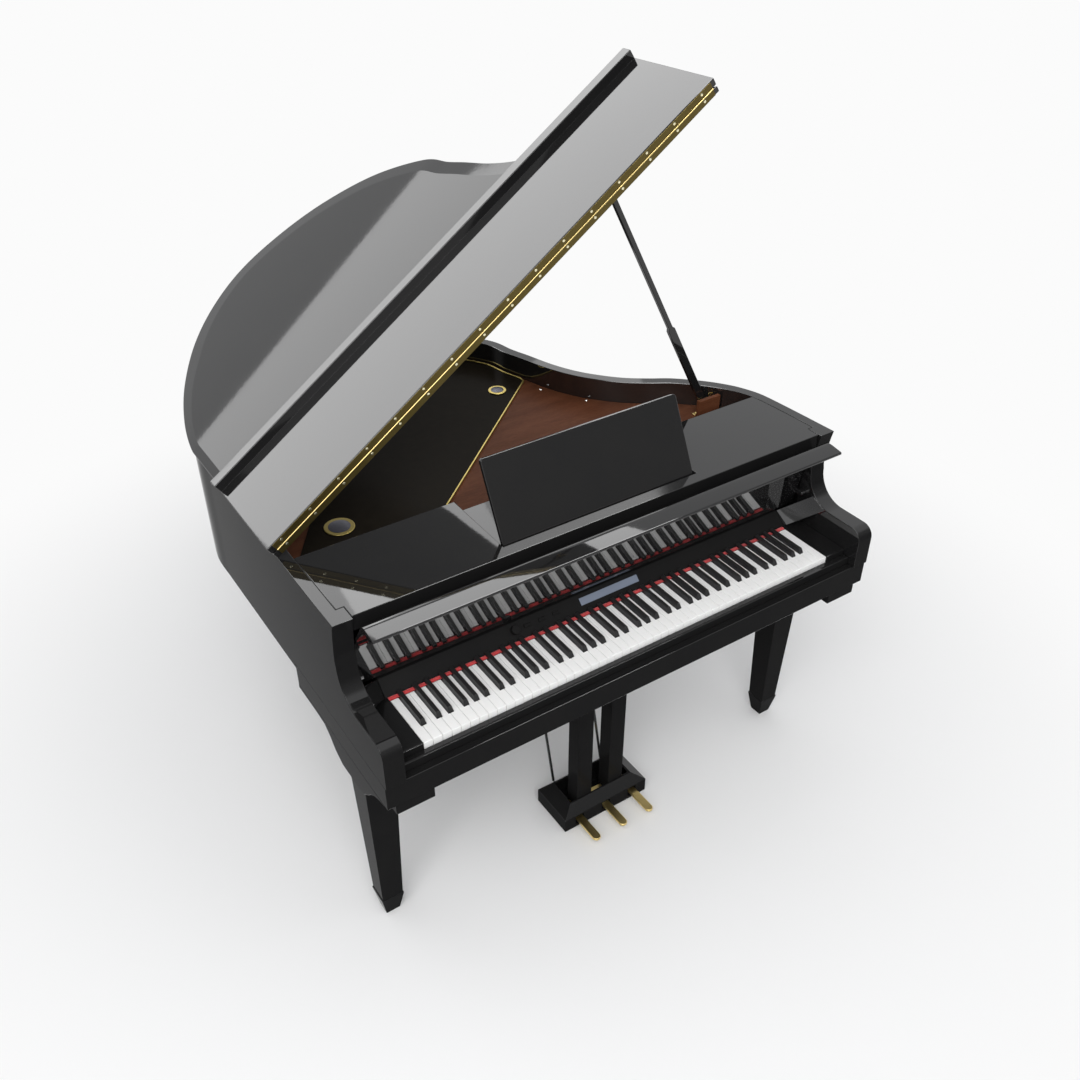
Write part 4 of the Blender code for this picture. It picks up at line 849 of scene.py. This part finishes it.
# Floor and light: a plain pale floor under soft studio lamps, a long softbox behind the piano
# that the lid mirrors, and a wide one in front for the keys.
FLOOR_SIZE = 60.0
FLOOR_NEAR, FLOOR_FAR = 0.9, 2.4
bm = bmesh.new()
bmesh.ops.create_grid(bm, x_segments=1, y_segments=1, size=FLOOR_SIZE / 2)
floor_mesh = bpy.data.meshes.new("floor")
bm.to_mesh(floor_mesh)
bm.free()
floor = bpy.data.objects.new("floor", floor_mesh)
bpy.context.scene.collection.objects.link(floor)
paint = Finish("pale_floor", 0.9, Specular_IOR_Level=0.0)
patch = paint.noise(2.0, 2.0)
paint.feed(Base_Color=paint.blend(patch, (0.835, 0.835, 0.835), (0.845, 0.845, 0.845)))
rays = [paint.node("ShaderNodeLightPath", output=ray) for ray in
        ("Is Camera Ray", "Is Glossy Ray", "Is Transmission Ray")]
seen = rays[0].math("MAXIMUM", rays[0].math("MAXIMUM", rays[0], rays[1]), rays[2])
distance = paint.node("ShaderNodeVectorMath", {"operation": "LENGTH"}, {0: paint.place},
                      "Value")
far = paint.node("ShaderNodeMapRange", {"interpolation_type": "SMOOTHSTEP"}, {
    "Value": distance, "From Min": FLOOR_NEAR, "From Max": FLOOR_FAR})
backdrop = paint.node("ShaderNodeEmission", None, {"Color": (0.965, 0.965, 0.965, 1)})
mixed = paint.node("ShaderNodeMixShader", None, {
    0: far * seen, 1: Wire(paint, paint.shader.outputs[0]), 2: backdrop})
paint.join(paint.tree.nodes["Material Output"], {"Surface": mixed})
floor_mesh.materials.append(paint.material)

world = bpy.data.worlds.new("studio")
bpy.context.scene.world = world
world.use_nodes = True
sky = Graph(world.node_tree)
rays = [sky.node("ShaderNodeLightPath", output=ray) for ray in
        ("Is Camera Ray", "Is Glossy Ray", "Is Transmission Ray")]
AMBIENT = 0.75
DARK_SIDE = (0.450, -0.870, 0.200)
DARK_LEVEL = 0.3
seen = rays[0].math("MAXIMUM", rays[0].math("MAXIMUM", rays[0], rays[1]), rays[2])
heading = sky.node("ShaderNodeTexCoord", output="Generated")
nearness = sky.node("ShaderNodeVectorMath", {"operation": "DOT_PRODUCT"},
                    {0: heading, 1: DARK_SIDE}, "Value")
dark = sky.node("ShaderNodeMapRange", {"interpolation_type": "SMOOTHSTEP"}, {
    "Value": nearness, "From Min": 0.70, "From Max": 0.88})
sky.join(world.node_tree.nodes["Background"], {
    "Color": (0.985, 0.99, 1.0, 1),
    "Strength": seen * (1.0 - AMBIENT) + AMBIENT - dark * rays[1] * (1.0 - DARK_LEVEL)})


def softbox(name, centre, aim, width, height, radiance, tilt=None):
    """A square lamp of a given radiance, aimed at a point, its width level or as tilted."""
    lamp = bpy.data.lights.new(name, "AREA")
    lamp.shape = "RECTANGLE"
    lamp.size, lamp.size_y = width, height
    lamp.energy = radiance * math.pi * width * height
    holder = bpy.data.objects.new(name, lamp)
    bpy.context.scene.collection.objects.link(holder)
    back = (Vector(centre) - Vector(aim)).normalized()
    side = Vector(tilt) if tilt else Vector((0, 0, 1)).cross(back)
    side = (side - back * side.dot(back)).normalized()
    turn = Matrix((side, back.cross(side), back)).transposed().to_4x4()
    holder.matrix_world = Matrix.Translation(centre) @ turn
    return holder


def mirrored_lamp(name, across, up, along, low, high, radiance):
    """A softbox that only mirrors show, on the plane behind the piano that the lid mirrors."""
    middle = LAMP_PLANE + along * sum(across) / 2 + up * (low + high) / 2
    lamp = softbox(name, middle, middle - MIRRORED, across[1] - across[0], high - low,
                   radiance, along)
    lamp.visible_diffuse = False
    return lamp


LID_POINT = in_plan(-0.220, 0.753, 1.403)
MIRRORED = Vector((-0.2238, 0.8302, 0.5106))
LAMP_PLANE = LID_POINT + MIRRORED * 3.0
LONG_EDGE = Vector((0.8793, -0.0538, 0.4729))
SHORT_EDGE = Vector((-0.4201, -0.5548, 0.7179))
LEVEL_EDGE = Vector((0.948, 0.308, -0.085))
RISING_EDGE = Vector((0.227, -0.465, 0.856))
TILTED_EDGE = (LONG_EDGE * 0.9984 + SHORT_EDGE * 0.0558).normalized()
TILTED_UP = TILTED_EDGE.cross(MIRRORED)
mirrored_lamp("softbox_wide", (-1.45, 1.95), SHORT_EDGE, LONG_EDGE, -0.330, 0.90, 2.6)
mirrored_lamp("softbox_upper", (-1.50, 1.95), TILTED_UP, TILTED_EDGE, -0.005, 0.90, 2.2)
mirrored_lamp("softbox_level", (1.25, 4.30), RISING_EDGE, LEVEL_EDGE, 0.30, 1.652, 1.0)
mirrored_lamp("softbox_level_left", (1.25, 2.50), RISING_EDGE, LEVEL_EDGE, 0.50, 1.652, 1.5)
CEILING = 3.5
for name, across, along, radiance in (
        ("softbox_over_keys", (0.20, 1.83), (-0.60, 0.75), 13.0),
        ("softbox_over_case", (0.20, 1.83), (0.75, 1.90), 5.0)):
    middle = in_plan(sum(across) / 2, sum(along) / 2, CEILING)
    lamp = softbox(name, middle, middle - Vector((0, 0, 1)), across[1] - across[0],
                   along[1] - along[0], radiance, (1, 0, 0))
    lamp.visible_diffuse = False
softbox("softbox_front", in_plan(-2.2, -2.4, 4.2), in_plan(0, 0.3, 0.7), 4.0, 3.0, 4.2)

# Camera: where the photographer stood, above the left of the keyboard.
CAMERA = (-1.3162, -1.5064, 2.4530)
AZIMUTH, FALL = math.radians(33.73), math.radians(35.46)
camera_data = bpy.data.cameras.new("camera")
camera_data.sensor_width = 36.0
camera_data.lens = 35.83
camera_data.clip_end = 200.0
camera = bpy.data.objects.new("camera", camera_data)
bpy.context.scene.collection.objects.link(camera)
camera.location = in_plan(*CAMERA)
camera.rotation_euler = (math.pi / 2 - FALL, 0, -AZIMUTH)
bpy.context.scene.camera = camera
bpy.context.scene.view_settings.view_transform = "Standard"
